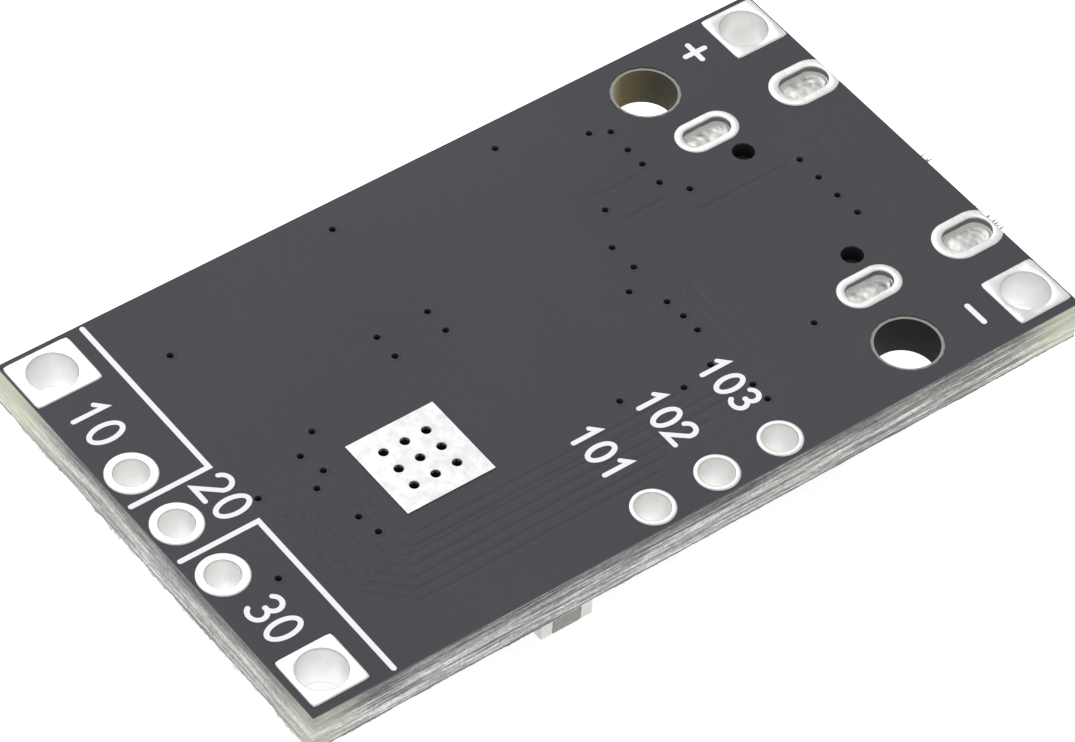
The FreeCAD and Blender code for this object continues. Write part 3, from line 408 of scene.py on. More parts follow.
def grainy(name, colour, roughness, grain=8000, depth=0.000004):
    """A plain surface with a slight grain in tone and relief."""
    material, tree, shader = surface(name, colour, roughness, 0.0, 0.4)
    noise = place_noise(tree, grain)
    dark = tuple(DARKER * part for part in colour)
    light = tuple(min(1.0, LIGHTER * part) for part in colour)
    tones = ramp(tree, noise, [(NOISE_LOW, dark), (NOISE_HIGH, light)])
    tree.links.new(tones, shader.inputs["Base Color"])
    relief(tree, shader, noise, depth)
    return material


BLACK_PLASTIC = grainy("black_plastic", (0.022, 0.022, 0.023), 0.45)
CHIP = grainy("chip_mould", (0.03, 0.03, 0.032), 0.55)
POWDER = grainy("pressed_powder", (0.13, 0.13, 0.135), 0.65, 5000, 0.00001)
DARK_CERAMIC = grainy("dark_ceramic", (0.25, 0.235, 0.215), 0.55)
TAN_CERAMIC = grainy("tan_ceramic", (0.42, 0.31, 0.2), 0.5)
WHITE_CERAMIC = grainy("white_ceramic", (0.78, 0.78, 0.76), 0.5)
GLAZE = grainy("glaze", (0.02, 0.02, 0.021), 0.2)
LENS = grainy("lamp_resin", (0.82, 0.8, 0.62), 0.25)
print("materials so far:", len(bpy.data.materials))

# %% [markdown]
# ## Dress the solids
#
# Each solid takes its material by name. No moulded or fired piece has a sharp edge, and a sharp one
# catches no light, so most solids get a small bevel. It is a modifier, which leaves the solid's own mesh
# as it was packed, and it stays inside the solid's outline. A weld comes first, because the facets arrive
# apart.

# %% Finish of each solid
# Material and bevel in millimetres
FINISHES = {
    "solder_side_coat": (COAT, 0), "component_side_coat": (COAT, 0), "board_laminate": (LAMINATE, 0),
    "component_side_print": (INK, 0), "component_lands": (TIN, 0), "solder_joints": (SOLDER, 0.03),
    "socket_shell": (STEEL, 0.06), "socket_mid_plate": (STEEL, 0),
    "socket_insulator": (BLACK_PLASTIC, 0.03),
    "socket_contacts_board_row": (GOLD, 0.02), "socket_contacts_outer_row": (GOLD, 0.02),
    "charger_chip_body": (CHIP, 0.05), "charger_chip_leads": (SOLDER, 0.02),
    "inductor_core": (POWDER, 0.15), "inductor_clips": (SOLDER, 0.04),
    "edge_capacitor_body": (DARK_CERAMIC, 0.05), "output_capacitor_bodies": (TAN_CERAMIC, 0.05),
    "input_capacitor_bodies": (TAN_CERAMIC, 0.05), "small_capacitor_bodies": (TAN_CERAMIC, 0.04),
    "balance_resistor_bodies": (WHITE_CERAMIC, 0), "balance_resistor_coats": (GLAZE, 0.01),
    "small_resistor_bodies": (WHITE_CERAMIC, 0), "small_resistor_coats": (GLAZE, 0.01),
    "indicator_lamp_bodies": (WHITE_CERAMIC, 0), "indicator_lamp_lenses": (LENS, 0.05),
}
for stem in ("edge_capacitor", "output_capacitor", "input_capacitor", "small_capacitor"):
    FINISHES[stem + "_end_caps"] = (END_CAP, 0.06)
for stem in ("balance_resistor", "small_resistor", "indicator_lamp"):
    FINISHES[stem + "_end_caps"] = (END_CAP, 0.03)
SHARP_ANGLE = math.radians(40)


def soften(piece, radius):
    """Round the solid's edges by a radius in millimetres, without a change to its own mesh."""
    weld = piece.modifiers.new("weld", "WELD")
    weld.merge_threshold = SAME_PLACE
    bevel = piece.modifiers.new("bevel", "BEVEL")
    bevel.width = radius * MM
    bevel.segments = 3
    bevel.limit_method = "ANGLE"
    bevel.angle_limit = SHARP_ANGLE
    bevel.harden_normals = True


for name, (material, radius) in FINISHES.items():
    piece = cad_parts[name]
    piece.data.materials.clear()
    piece.data.materials.append(material)
    if radius:
        soften(piece, radius)
print("finished CAD nodes:", len(FINISHES))

# %% [markdown]
# ## Outlines that can grow
#
# A pad is round, square or slotted, and its rim is the same outline moved in or out a little. So each
# outline is a function: give it an amount to grow, and it gives back its points. All outlines have the
# same number of points, which lets a round bore join a square land with plain four-sided faces.

# %% Round, square and slotted outlines
TURN = 2 * math.pi
STEPS = 64
# The higher, the sharper the corners of a square land
SQUARENESS = 26


def circle(centre, radius, count=STEPS):
    return [(centre.x + radius * math.cos(TURN * k / count), centre.y + radius * math.sin(TURN * k / count))
            for k in range(count)]


def round_loop(centre, radius):
    """Outline function of a circle."""
    return lambda grow: circle(centre, radius + grow)


def square_loop(centre, half_x, half_y):
    """Outline function of a rectangle with barely rounded corners."""
    def loop(grow):
        points = []
        for across, along in circle(Vector(), 1):
            reach = (abs(across) ** SQUARENESS + abs(along) ** SQUARENESS) ** (-1 / SQUARENESS)
            points.append((centre.x + (half_x + grow) * across * reach,
                           centre.y + (half_y + grow) * along * reach))
        return points
    return loop


def slot_loop(centre, length, width, limit=None):
    """Outline function of a slot along X, ended at a limit where it runs over the board's edge."""
    def loop(grow):
        points = []
        for k in range(STEPS):
            turn = TURN * (k + 0.5) / STEPS
            side = 1 if math.cos(turn) > 0 else -1
            x = centre.x + side * (length - width) / 2 + (width / 2 + grow) * math.cos(turn)
            edge = x if limit is None else min(x, limit + min(grow, 0))
            points.append((edge, centre.y + (width / 2 + grow) * math.sin(turn)))
        return points
    return loop


print("points of an outline:", len(round_loop(Vector(), 1)(0)))

# %% [markdown]
# ## Closed surfaces from rings
#
# An outline set at a level is a ring, and a stack of rings, each joined to the next, is a surface. When
# the last ring joins the first, the surface is closed like a tyre; otherwise both ends get a lid. A
# modelled profile with a spin could do this for round pads, but not for square or slotted ones.

# %% Helpers: new pieces from rings
def add_object(name, data):
    """A new object in the scene."""
    new = bpy.data.objects.new(name, data)
    bpy.context.scene.collection.objects.link(new)
    return new


def add_piece(name, verts, faces, material, slot):
    """A new piece that rides with the board, with the front of every face outwards."""
    mesh = bpy.data.meshes.new(name)
    mesh.from_pydata(verts, [], faces)
    work = bmesh.new()
    work.from_mesh(mesh)
    bmesh.ops.recalc_face_normals(work, faces=work.faces)
    work.to_mesh(mesh)
    work.free()
    mesh.materials.append(material)
    piece = add_object(name, mesh)
    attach(piece, "root")
    return piece


def lifted(points, level):
    """An outline's points at a level."""
    return [(x, y, level) for x, y in points]


def ring_faces(first, rings, count, closed=True):
    """Faces between rings of equal length, whose points are numbered from the first one on."""
    faces = []
    for index in range(rings if closed else rings - 1):
        here = first + index * count
        there = first + (index + 1) % rings * count
        faces += [(here + k, here + (k + 1) % count, there + (k + 1) % count, there + k)
                  for k in range(count)]
    return faces


def ring_piece(name, rings, material, slot, capped=False):
    """A closed surface through rings; the last ring joins the first, or both get a lid."""
    count = len(rings[0])
    verts = [point for ring in rings for point in ring]
    lids = [tuple(range(count))[::-1], tuple(range(len(verts) - count, len(verts)))] if capped else []
    faces = lids + ring_faces(0, len(rings), count, not capped)
    piece = add_piece(name, verts, faces, material, slot)
    piece.data.shade_smooth()
    return piece


print("helpers: add_object, add_piece, ring_piece")

# %% [markdown]
# ## Tinned pads
#
# Hot tin leaves a pad slightly domed, with a soft rim where it wets the copper's edge, and rounds over
# into the plated bore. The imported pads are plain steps, and a bevel would round the rims but give no
# dome. So each pad is drawn as rings along one section, and the section serves all the shapes.

# %% Section of a tinned pad
PLATING = 0.06 * MM
# From the bore to the land's rim: outline, growth and depth under the tin's top, in millimetres
SECTION = [("bore", 0.0, 0.16), ("bore", 0.003, 0.05), ("bore", 0.012, 0.018), ("bore", 0.026, 0.005),
           ("bore", 0.045, 0.0), ("land", -0.06, 0.0), ("land", -0.03, 0.006), ("land", -0.01, 0.02),
           ("land", 0.0, 0.045)]


def plated_pad(name, bore, land, low_top=TIN_BOTTOM, wall=PAINTED_LIGHT_BORE):
    """Rings down the solder side, through the hole beside its wall, and over the component side."""
    outlines = {"bore": bore, "land": land}
    upper = [lifted(outlines[kind](grow * MM), TIN_TOP - depth * MM) for kind, grow, depth in SECTION]
    lower = [lifted(outlines[kind](grow * MM), low_top + depth * MM) for kind, grow, depth in SECTION[::-1]]
    inner = [lifted(land(0), HIGH.z), lifted(bore(PLATING), HIGH.z),
             lifted(bore(PLATING), LOW.z), lifted(land(0), LOW.z)]
    rings = upper + inner + lower
    pad = ring_piece(name, rings, TIN, "tin")
    pad.data.materials.append(wall)
    for face in pad.data.polygons:
        # The first and the last band of faces line the bore
        if face.index // STEPS in (0, len(rings) - 1):
            face.material_index = 1
    return pad


def middle_of(node):
    """Centre and half size of a solid's box."""
    low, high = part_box(node)
    return (low + high) / 2, (high - low) / 2


print("rings of a pad:", 2 * len(SECTION) + 4)

# %% [markdown]
# The three battery holes and the three signal holes have round lands, and the corner pads have square
# ones with wider bores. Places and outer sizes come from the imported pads, which the new ones then
# replace.

# %% Round and square pads
BORES = {"battery": 0.575 * MM, "signal": 0.58 * MM, "corner": 0.825 * MM}
pads = []
for family in ("battery", "signal"):
    for index in (1, 2, 3):
        node = "%s_hole_pad_%d" % (family, index)
        centre, half = middle_of(node)
        pad = plated_pad(node + "_tin", round_loop(centre, BORES[family]), round_loop(centre, half.x))
        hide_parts(node)
        pads.append(pad)
for end in ("battery", "socket"):
    for side in ("far", "near"):
        node = "corner_pad_%s_%s" % (end, side)
        centre, half = middle_of(node)
        pad = plated_pad(node + "_tin", round_loop(centre, BORES["corner"]),
                         square_loop(centre, half.x, half.y), wall=PAINTED_LIGHT_CORNER_BORE)
        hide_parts(node)
        pads.append(pad)
print("tinned round and square pads:", len(pads))

# %% [markdown]
# ## Slots for the socket's legs
#
# The socket's legs come up in four plated slots. They take the same section as the other pads. The two at
# the board's end have wider lands, which the routed edge cuts off, so their outline stops at the board's
# end.

# %% Slot pads
LEG_ROW = 4.32 * MM
# Middle from the board's end, length and width of the slot, length and width of its land, in millimetres
SLOTS = {"rear": (5.2, 1.8, 0.86, 2.4, 1.44), "front": (1.06, 1.84, 1.08, 2.6, 1.75)}


def leg_slots():
    """Row, side, centre and sizes of each slot, in metres."""
    for row, (from_end, *sizes) in SLOTS.items():
        for side, way in (("near", -1), ("far", 1)):
            centre = Vector((HIGH.x - from_end * MM, MIDDLE_Y + way * LEG_ROW, FACE))
            yield row, side, centre, [size * MM for size in sizes]


for row, side, centre, (length, width, land_length, land_width) in leg_slots():
    node = "slot_pads_" + row
    land = slot_loop(centre, land_length, land_width, HIGH.x)
    pad = plated_pad("%s_tin_%s" % (node, side), slot_loop(centre, length, width), land,
                     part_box(node)[0].z, PAINTED_SHADE_SLOT)
    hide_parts(node)
print("slots:", len(list(leg_slots())))

# %% [markdown]
# Solder fills each slot round the leg. It climbs the slot's wall, sags away from it, and rises again over
# the end of the leg, so it is a bowl with a low hump, made of rings and closed by lids.

# %% Solder in the slots
SOLDER_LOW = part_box("leg_solder")[0].z
# From the hump to the wall: way in from the wall, as a share of half the width, and depth in millimetres
SOLDER_LEVELS = [(0.85, 0.27), (0.6, 0.275), (0.4, 0.285), (0.2, 0.27), (0.07, 0.22), (0.006, 0.15)]


def slot_solder(name, centre, length, width):
    """Solder that wets the slot's wall, sags away from it and covers the end of the leg."""
    loop = slot_loop(centre, length, width)
    rings = [lifted(loop(-share * width / 2), FACE - depth * MM) for share, depth in SOLDER_LEVELS]
    rings.append(lifted(loop(-SOLDER_LEVELS[-1][0] * width / 2), SOLDER_LOW))
    piece = ring_piece(name, rings, LEG_SOLDER, "solder", True)
    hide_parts("leg_solder")
    return piece


for row, side, centre, (length, width, _, _) in leg_slots():
    slot_solder("solder_%s_%s" % (row, side), centre, length, width)
print("rings of a solder fill:", len(SOLDER_LEVELS) + 1)

# %% [markdown]
# ## Many small holes in one piece
#
# The heat pad has nine small holes, and the board has 38 more. A cut for each would leave long thin
# faces, so each hole is a surface of rings of its own, and all of them are joined into one piece. Where
# two neighbours share a wall, the wall would lie inside the piece, so points that meet are merged and
# such walls dropped.

# %% Helpers: several ring surfaces as one piece
# Points are the same when they agree to so many decimals of a millimetre
DECIMALS = 5


def without_shared_walls(verts, faces):
    """Merge points that meet, and drop each wall that two neighbours have in common."""
    numbers = {}
    rounded = [tuple(round(part / MM, DECIMALS) for part in point) for point in verts]
    places = [numbers.setdefault(point, len(numbers)) for point in rounded]
    faces = [tuple(places[index] for index in face) for face in faces]
    uses = Counter(frozenset(face) for face in faces)
    kept = [face for face in faces if uses[frozenset(face)] == 1]
    return [Vector(place) * MM for place in numbers], kept


def merged_rings(name, groups, material, slot):
    """Several closed ring surfaces as one piece."""
    verts = []
    faces = []
    for rings in groups:
        faces += ring_faces(len(verts), len(rings), len(rings[0]))
        verts += [point for ring in rings for point in ring]
    return add_piece(name, *without_shared_walls(verts, faces), material, slot)


print("helper: merged_rings")

# %% [markdown]
# ## Heat pad
#
# The heat pad is a bare tinned square that draws heat out of the chip behind it. A large flat mirror of a
# white room would show as plain white, so its tin is a little greyer than on the pads. It is laid out as
# nine cells, each a flat collar from a round hole to its own part of the square.

# %% Heat pad
HEAT_PITCH = 0.83 * MM
HEAT_BORE = 0.16 * MM
HEAT_BEVEL = 0.02 * MM
HEAT_STEPS = 32
# A direction that is smaller along an axis than this never reaches the side there
PARALLEL = 1e-9


def box_loop(low, high, centre, count):
    """Points on a rectangle in the directions of a circle's points round a centre inside it."""
    points = []
    for across, along in circle(Vector(), 1, count):
        side_x = high.x if across > 0 else low.x
        side_y = high.y if along > 0 else low.y
        reach_x = (side_x - centre.x) / across if abs(across) > PARALLEL else math.inf
        reach_y = (side_y - centre.y) / along if abs(along) > PARALLEL else math.inf
        reach = min(reach_x, reach_y)
        points.append((centre.x + reach * across, centre.y + reach * along))
    for x in (low.x, high.x):
        for y in (low.y, high.y):
            turn = math.atan2(y - centre.y, x - centre.x)
            points[round(turn / TURN * count) % count] = (x, y)
    return points


heat_low, heat_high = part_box("heat_pad")
cells = []
for column in (-1, 0, 1):
    for row in (-1, 0, 1):
        centre = (heat_low + heat_high) / 2 + Vector((column, row, 0)) * HEAT_PITCH
        low = Vector((heat_low.x if column < 0 else centre.x - HEAT_PITCH / 2,
                      heat_low.y if row < 0 else centre.y - HEAT_PITCH / 2, 0))
        high = Vector((heat_high.x if column > 0 else centre.x + HEAT_PITCH / 2,
                       heat_high.y if row > 0 else centre.y + HEAT_PITCH / 2, 0))
        mouth = circle(centre, HEAT_BORE, HEAT_STEPS)
        rim = circle(centre, HEAT_BORE + HEAT_BEVEL, HEAT_STEPS)
        outer = box_loop(low, high, centre, HEAT_STEPS)
        cells.append([lifted(mouth, HIGH.z), lifted(mouth, TIN_TOP - HEAT_BEVEL), lifted(rim, TIN_TOP),
                      lifted(outer, TIN_TOP), lifted(outer, HIGH.z)])
heat = merged_rings("heat_pad_tin", cells, FLAT_TIN, "tin")
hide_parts("heat_pad")
print("heat pad cells:", len(cells))

# %% [markdown]
# ## Small holes
#
# The small holes join copper on both sides, and the coat runs over them. It creeps up over the copper
# ring and leaves a low round collar with a dark mouth. Under the photo's flat light a bump in the coat's
# material would show nothing, so each collar is real geometry in the coat's own finish.

# %% Collars of the small holes
# Along from the battery end and up from the near edge, in millimetres, as drilled
VIAS = [
    (4.8, 14.8), (12.3, 16.45), (18.9, 16.45), (2.3, 5.15), (3.65, 8.2), (10.7, 11.7), (12.7, 11.7),
    (10.7, 10.7), (12.7, 10.7), (6.65, 9.55), (5.75, 8.9), (6.0, 8.0), (5.4, 7.5), (5.8, 5.8), (5.95, 4.95),
    (19.35, 10.6), (19.4, 9.5), (18.6, 8.7), (19.35, 7.65), (19.4, 6.85), (19.4, 6.1), (15.45, 5.05),
    (17.5, 4.35), (18.8, 4.65), (19.4, 3.2), (19.4, 2.45), (21.9, 15.25), (22.55, 14.9), (22.5, 13.9),
    (22.5, 13.1), (22.45, 12.1), (20.2, 12.1), (23.1, 11.3), (22.7, 4.2), (26.95, 10.3), (26.95, 9.3),
    (26.95, 8.3), (27.0, 7.3),
]
VIA_STEPS = 24
VIA_MOUTH = 0.115
VIA_COLLAR = 0.24
VIA_FOOT = (LOW.z - FACE) / MM + 0.2
# Section of a collar, up its mouth, over its top and back down: radius and height over the face
COLLAR = [(VIA_MOUTH, VIA_FOOT), (VIA_MOUTH, 0.0), (VIA_MOUTH + 0.02, 0.012), (VIA_COLLAR - 0.04, 0.008),
          (VIA_COLLAR, -0.002), (VIA_COLLAR, -0.02), (VIA_MOUTH + 0.012, -0.03),
          (VIA_MOUTH + 0.012, VIA_FOOT)]
collars = []
for along, up in VIAS:
    centre = on_board(along, up)
    collars.append([lifted(circle(centre, radius * MM, VIA_STEPS), FACE + height * MM)
                    for radius, height in COLLAR])
merged_rings("via_collars", collars, COAT, "board_coat")
print("small holes:", len(VIAS))

# %% [markdown]
# ## Ragged edges of the laminate
#
# The board was snapped and routed out of a larger sheet. Under the snapped battery end the glass cloth
# hangs in a ragged hem of up to a quarter of a millimetre, and under the routed edges it is much finer. A
# material can't change an outline, so each hem is a thin strip of geometry whose lower edge wanders at
# random. The seeds are fixed, so that every run gives the same edge.

# %% Ragged hems
HEM_STEP = 0.06 * MM
# How far the front and the back of the strip lie behind the cut
HEM_FRONT = 0.004 * MM
HEM_BACK = 0.05 * MM
# Shares of the full depth: where the edge starts, how far it may wander in a step, and its least
HEM_START = 0.5
HEM_WANDER = 0.3
HEM_LEAST = 0.1


def hem(name, start, end, inwards, depth, seed):
    """A ragged strip just behind the cut edge that hangs below the board, from one corner to the other."""
    chance = random.Random(seed)
    count = round((end - start).length / HEM_STEP)
    reach = HEM_START
    rings = []
    for k in range(count + 1):
        reach = min(1.0, max(HEM_LEAST, reach + chance.uniform(-HEM_WANDER, HEM_WANDER)))
        spot = start.lerp(end, k / count)
        front = spot + inwards * HEM_FRONT
        back = spot + inwards * HEM_BACK
        low = COAT_LOW - depth * MM * reach * chance.uniform(0.5, 1.0)
        rings.append([(front.x, front.y, LOW.z), (front.x, front.y, low),
                      (back.x, back.y, low), (back.x, back.y, LOW.z)])
    piece = ring_piece(name, rings, LAMINATE, "laminate", True)
    piece.data.shade_flat()
    return piece


ALONG_X = Vector((1, 0, 0))
ALONG_Y = Vector((0, 1, 0))
BATTERY_NEAR, SOCKET_NEAR = Vector((LOW.x, LOW.y, 0)), Vector((HIGH.x, LOW.y, 0))
BATTERY_FAR, SOCKET_FAR = Vector((LOW.x, HIGH.y, 0)), Vector((HIGH.x, HIGH.y, 0))
# The depth is in millimetres
hem("hem_battery_end", BATTERY_FAR, BATTERY_NEAR, ALONG_X, depth=0.24, seed=1)
hem("hem_near_edge", BATTERY_NEAR, SOCKET_NEAR, ALONG_Y, depth=0.08, seed=2)
hem("hem_socket_end", SOCKET_NEAR, SOCKET_FAR, -ALONG_X, depth=0.05, seed=3)
hem("hem_far_edge", SOCKET_FAR, BATTERY_FAR, -ALONG_Y, depth=0.05, seed=4)

# %% [markdown]
# Two tufts of broken strands are left at the socket end, where a tab was cut. A hair system would be too
# much for some thirty strands, and it wouldn't export as a mesh. Each strand is a slim spike with three
# sides.

# %% Tufts of strands
STRANDS = surface("glass_strands", (0.36, 0.34, 0.26), 0.6)[0]
STRAND_HALF = 0.03 * MM
STRAND_ROOT = 0.02 * MM
# Three sides and a foot, by the numbers of their corners
SPIKE = [(0, 1, 3), (1, 2, 3), (2, 0, 3), (0, 2, 1)]


def tuft(name, up, spread_out, strands, seed):
    """Broken glass strands that stick out of the socket end round one place, just under the coat."""
    chance = random.Random(seed)
    verts = []
    faces = []
    for _ in range(strands):
        root = Vector((HIGH.x - STRAND_ROOT, LOW.y + (up + chance.gauss(0, spread_out)) * MM,
                       HIGH.z - chance.uniform(0.02, 0.12) * MM))
        reach = Vector((chance.uniform(0.1, 0.45), chance.uniform(-0.16, 0.16),
                        chance.uniform(-0.04, 0.08)))
        first = len(verts)
        verts += [root + Vector(corner) * STRAND_HALF for corner in ((0, -1, -1), (0, 1, -1), (0, 0, 1))]
        verts.append(root + reach * MM)
        faces += [tuple(first + corner for corner in face) for face in SPIKE]
    return add_piece(name, verts, faces, STRANDS, "laminate")


tuft("tuft_middle", up=8.0, spread_out=0.1, strands=7, seed=5)
tuft("tuft_near", up=4.6, spread_out=0.25, strands=24, seed=6)

# %% [markdown]
# ## Shapes of the signs
#
# The print is screen printed with a line of even width. A font from a file would look wrong for it, and
# this script reads none. So each sign is a few strokes through points, with arcs worked out by a formula.

# %% Signs as strokes
def arc(centre_x, centre_y, radius_x, radius_y, start, end, count=14):
    """Points of an arc of an oval, from one angle to another in degrees."""
    turns = [math.radians(start + (end - start) * k / count) for k in range(count + 1)]
    return [(centre_x + radius_x * math.cos(turn), centre_y + radius_y * math.sin(turn)) for turn in turns]


# Strokes in a cell 0.62 wide and 1 high
SIGNS = {
    "0": [arc(0.31, 0.5, 0.27, 0.5, 0, 360, 28)],
    "1": [[(0.12, 0.78), (0.34, 1.0), (0.34, 0.0)]],
    "2": [arc(0.3, 0.72, 0.27, 0.28, 165, -25, 12) + [(0.03, 0.0), (0.6, 0.0)]],
    "3": [arc(0.29, 0.75, 0.25, 0.25, 150, -90, 12), arc(0.29, 0.26, 0.28, 0.26, 90, -150, 14)],
    "+": [[(0.0, 0.5), (1.0, 0.5)], [(0.5, 0.0), (0.5, 1.0)]],
    "-": [[(0.0, 0.5), (1.0, 0.5)]],
}
print("signs:", " ".join(SIGNS))

# %% [markdown]
# ## From a stroke to a bar of ink
#
# Each stroke is a flat bar of even width with round ends. A curve with a bevel would do it too, but its
# mesh would be a round cord, and ink is flat on top. So the two sides of the bar are worked out point by
# point, and each bar gets its own walls. The zero ends where it starts, so it becomes a ring without
# ends.

# %% Helpers: bars of ink
INK_TOP = FACE + 0.015 * MM
INK_LOW = FACE - 0.01 * MM
# Points of a round end
CAP = 7
# The least share that limits how far a sharp corner is drawn out
MITRE = 0.4


def closed_stroke(verts, faces, sides, top):
    """Add a stroke that ends where it starts: a flat ring with two walls."""
    count = len(sides[0]) - 1
    first = len(verts)
    for side in sides:
        verts.extend([(point.x, point.y, level) for level in (INK_LOW, top) for point in side[:-1]])
    for k in range(count):
        here, following = first + k, first + (k + 1) % count
        for ring, other in ((0, 1), (1, 3), (3, 2), (2, 0)):
            faces.append((here + ring * count, following + ring * count, following + other * count,
                          here + other * count))


def stroke_sides(points, width, closed):
    """The two sides of a strip of even width along the points."""
    sides = ([], [])
    for index, point in enumerate(points):
        before = (point - points[index - 1]).normalized() if index else None
        after = (points[index + 1] - point).normalized() if index + 1 < len(points) else None
        if closed and not (before and after):
            before = (points[-1] - points[-2]).normalized()
            after = (points[1] - points[0]).normalized()
        mean = ((before or after) + (after or before)).normalized()
        normal = Vector((-mean.y, mean.x, 0))
        first = before or after
        reach = width / 2 / max(MITRE, normal.dot(Vector((-first.y, first.x, 0))))
        sides[0].append(point + normal * reach)
        sides[1].append(point - normal * reach)
    return sides


print("ink stands", round((INK_TOP - FACE) / MM, 3), "mm over the coat")

# %% [markdown]
# An open bar has one outline: up one side, round the end, back down the other side and round the start.
# Its top is laid with four-sided faces between the sides and one many-sided face at each end, because a
# single face over a bent outline could fold over itself.

# %% Helper: one bar of ink
def round_end(point, way, width):
    """Points of a half circle round a stroke's end, in the order of the outline."""
    heading = math.atan2(way.y, way.x)
    turns = [heading + math.pi / 2 - math.pi * k / (CAP + 1) for k in range(1, CAP + 1)]
    return [point + Vector((math.cos(turn), math.sin(turn), 0)) * width / 2 for turn in turns]


def ribbon(verts, faces, points, width, top):
    """Add one stroke: a flat strip of even width along the points, with round ends."""
    closed = (points[0] - points[-1]).length < SAME_PLACE
    sides = stroke_sides(points, width, closed)
    if closed:
        closed_stroke(verts, faces, sides, top)
        return
    outline = (sides[0] + round_end(points[-1], points[-1] - points[-2], width)
               + sides[1][::-1] + round_end(points[0], points[0] - points[1], width))
    count = len(outline)
    first = len(verts)
    verts.extend([(point.x, point.y, level) for level in (INK_LOW, top) for point in outline])
    for k in range(count):
        following = (k + 1) % count
        faces.append((first + following, first + k, first + count + k, first + count + following))
    for start in (first, first + count):
        left = [start + k for k in range(len(points))]
        right = [start + 2 * len(points) + CAP - 1 - k for k in range(len(points))]
        faces.extend([(left[k], right[k], right[k + 1], left[k + 1]) for k in range(len(points) - 1)])
        cap = start + len(points)
        faces.append((left[-1], right[-1], *range(cap + CAP - 1, cap - 1, -1)))
        cap = start + 2 * len(points) + CAP
        faces.append((right[0], left[0], *range(cap + CAP - 1, cap - 1, -1)))


print("points of a straight bar's outline:", 4 + 2 * CAP)

# %% [markdown]
# ## Lines, numbers and signs
#
# The lines frame the battery holes. The real labels are words; plain numbers of the same height stand in
# their places. They read along the battery end, from the far edge to the near one, with their tops
# towards the socket. Two faces at one height would fight for the same pixels, so where strokes cross, one
# lies just lower.

# %% Print
STROKE = 0.178
LINE = 0.19
SIGN_STROKE = 0.2
LOWER = 0.003 * MM


def printed(name, strokes, width=STROKE):
    """One piece of print from strokes, each a list of board points."""
    verts = []
    faces = []
    for index, stroke in enumerate(strokes):
        ribbon(verts, faces, stroke, width * MM, INK_TOP - LOWER * (index % 2))
    return add_piece(name, verts, faces, INK, "print")


def label(text, along, up, height, cell=0.62, gap=0.2):
    """Strokes of a text whose lower left corner is at a board point, reading towards the near edge."""
    strokes = []
    for index, sign in enumerate(text):
        for stroke in SIGNS[sign]:
            strokes.append([on_board(along + height * y, up - height * (x + index * (cell + gap)))
                            for x, y in stroke])
    return strokes


FRAME_X = 3.13
FRAME_UPPER = 10.16
FRAME_LOWER = 7.43
FRAME_END = 0.2
lines = printed("printed_lines", [
    [on_board(FRAME_X, WIDTH - FRAME_END), on_board(FRAME_X, FRAME_UPPER),
     on_board(FRAME_END, FRAME_UPPER)],
    [on_board(FRAME_X, FRAME_END), on_board(FRAME_X, FRAME_LOWER), on_board(FRAME_END, FRAME_LOWER)],
], LINE)
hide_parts("solder_side_print")
# Number, place of its lower left corner and height, in millimetres
LABELS = [("10", 0.68, 14.55, 1.2), ("20", 2.22, 9.75, 1.2), ("30", 0.68, 4.75, 1.2),
          ("101", 13.15, 4.78, 1.0), ("102", 15.75, 4.78, 1.0), ("103", 18.3, 4.78, 1.0)]
numbers = []
for text, along, up, height in LABELS:
    numbers += label(text, along, up, height)
printed("printed_numbers", numbers)
plus_and_minus = label("+", 26.8, 16.72, 0.8, 1.0) + label("-", 26.85, 1.95, 0.85, 1.0)
printed("printed_signs", plus_and_minus, SIGN_STROKE)
print("numbers and signs:", len(numbers) + len(plus_and_minus), "strokes")

# %% [markdown]
# ## Light table
#
# The photo was cut out on white, with no hard shadow. That could be done afterwards, on the picture. A
# light table does it in one shot: its glow takes the dark out of the shadow, which stays as a faint tone.
# The table both glows and reflects, so its material adds the two.

# %% Light table
TABLE_GLOW = 0.72
TABLE_WHITE = (0.9, 0.9, 0.9, 1)
TABLE_REACH = 1.5


def table_material():
    material = bpy.data.materials.new("light_table")
    material.use_nodes = True
    tree = material.node_tree
    tree.nodes.clear()
    out = tree.nodes.new("ShaderNodeOutputMaterial")
    glow = tree.nodes.new("ShaderNodeEmission")
    glow.inputs["Strength"].default_value = TABLE_GLOW
    white = tree.nodes.new("ShaderNodeBsdfDiffuse")
    white.inputs["Color"].default_value = TABLE_WHITE
    both = tree.nodes.new("ShaderNodeAddShader")
    tree.links.new(glow.outputs[0], both.inputs[0])
    tree.links.new(white.outputs[0], both.inputs[1])
    tree.links.new(both.outputs[0], out.inputs["Surface"])
    return material


table_mesh = bpy.data.meshes.new("table")
corners = [(x * TABLE_REACH, y * TABLE_REACH, 0) for x, y in ((-1, -1), (1, -1), (1, 1), (-1, 1))]
table_mesh.from_pydata(corners, [], [(0, 1, 2, 3)])
table_mesh.materials.append(table_material())
table = add_object("table", table_mesh)
print("table:", 2 * TABLE_REACH, "m square")

# %% [markdown]
# ## Room and soft light
#
# White surroundings show in the tin and make it look bright. The room lights the board a little less
# strongly than it shows itself, or the dark coat would wash out. A large soft light stands over the board
# on the far side, so that the walls of the holes that face the camera stay in the shade, as in the photo.

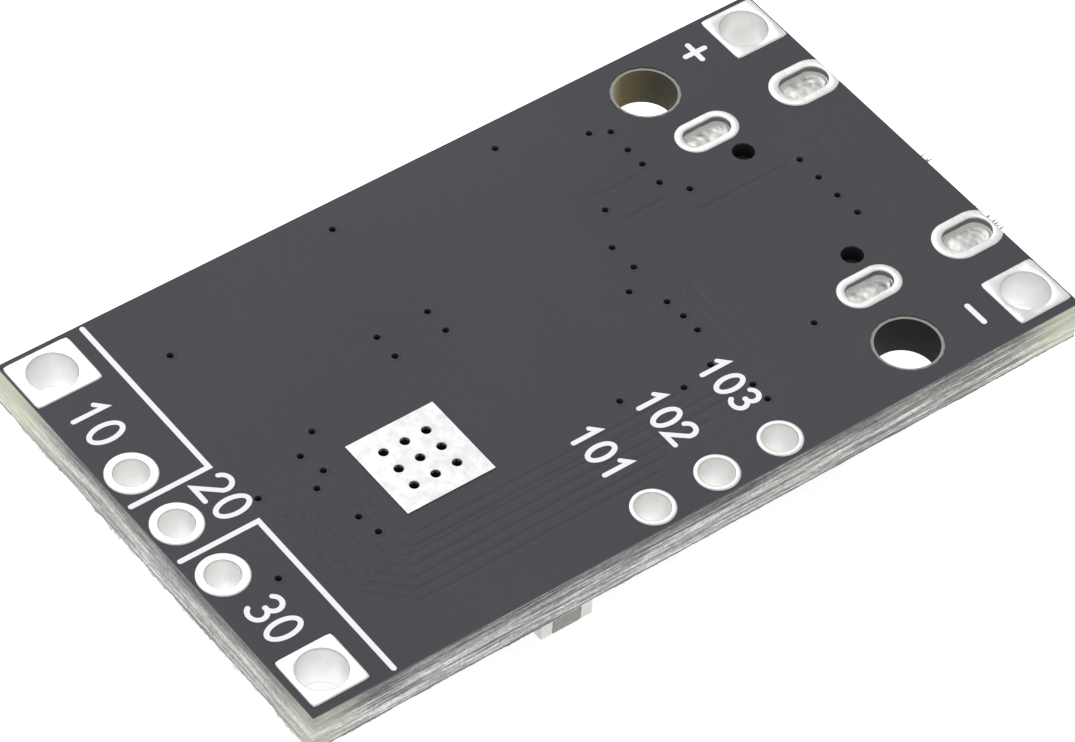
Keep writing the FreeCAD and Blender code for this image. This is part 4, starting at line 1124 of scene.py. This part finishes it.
# %% Room and soft light
def white_room(glow, seen):
    """A world that lights the object with one strength and shows itself, and its reflection, as white."""
    world = bpy.data.worlds.new("room")
    bpy.context.scene.world = world
    world.use_nodes = True
    tree = world.node_tree
    tree.nodes.clear()
    out = tree.nodes.new("ShaderNodeOutputWorld")
    choose = tree.nodes.new("ShaderNodeMixShader")
    for strength, socket in ((glow, choose.inputs[1]), (seen, choose.inputs[2])):
        white = tree.nodes.new("ShaderNodeBackground")
        white.inputs["Strength"].default_value = strength
        tree.links.new(white.outputs[0], socket)
    path = tree.nodes.new("ShaderNodeLightPath")
    either = measure(tree, "MAXIMUM", path.outputs["Is Camera Ray"], path.outputs["Is Glossy Ray"])
    tree.links.new(either, choose.inputs["Fac"])
    tree.links.new(choose.outputs[0], out.inputs["Surface"])


def soft_light(name, place, size, power):
    """A square light that faces the object."""
    data = bpy.data.lights.new(name, "AREA")
    data.size = size
    data.energy = power
    lamp = add_object(name, data)
    lamp.location = place
    lamp.rotation_euler = (-Vector(place)).to_track_quat("-Z", "Y").to_euler()
    return lamp


white_room(glow=0.95, seen=1.0)
softbox = soft_light("far_softbox", place=(0.05, 0.22, 0.3), size=0.25, power=0.35)
print("softbox at", [round(value, 2) for value in softbox.location], "m")

# %% [markdown]
# ## Camera
#
# The photo was taken from above the near corner of the battery end with a long lens, so the board's long
# edges stay nearly parallel. The camera was solved from the board's edges and hole rows.

# %% Camera
LENS = 184.5
CAMERA_PLACE = Vector((-76.587, -94.117, 134.215)) * MM
CAMERA_TURN = [math.radians(angle) for angle in (42.672, -2.160, -36.605)]

camera_data = bpy.data.cameras.new("camera")
camera_data.sensor_width = 36
camera_data.lens = LENS
camera_data.clip_start = 0.01
camera_data.clip_end = 10
camera = add_object("camera", camera_data)
camera.location = CAMERA_PLACE
camera.rotation_euler = CAMERA_TURN
bpy.context.scene.camera = camera
bpy.context.scene.view_settings.view_transform = "Standard"
print("camera", [round(value / MM, 1) for value in camera.location], "mm, lens", camera_data.lens, "mm")
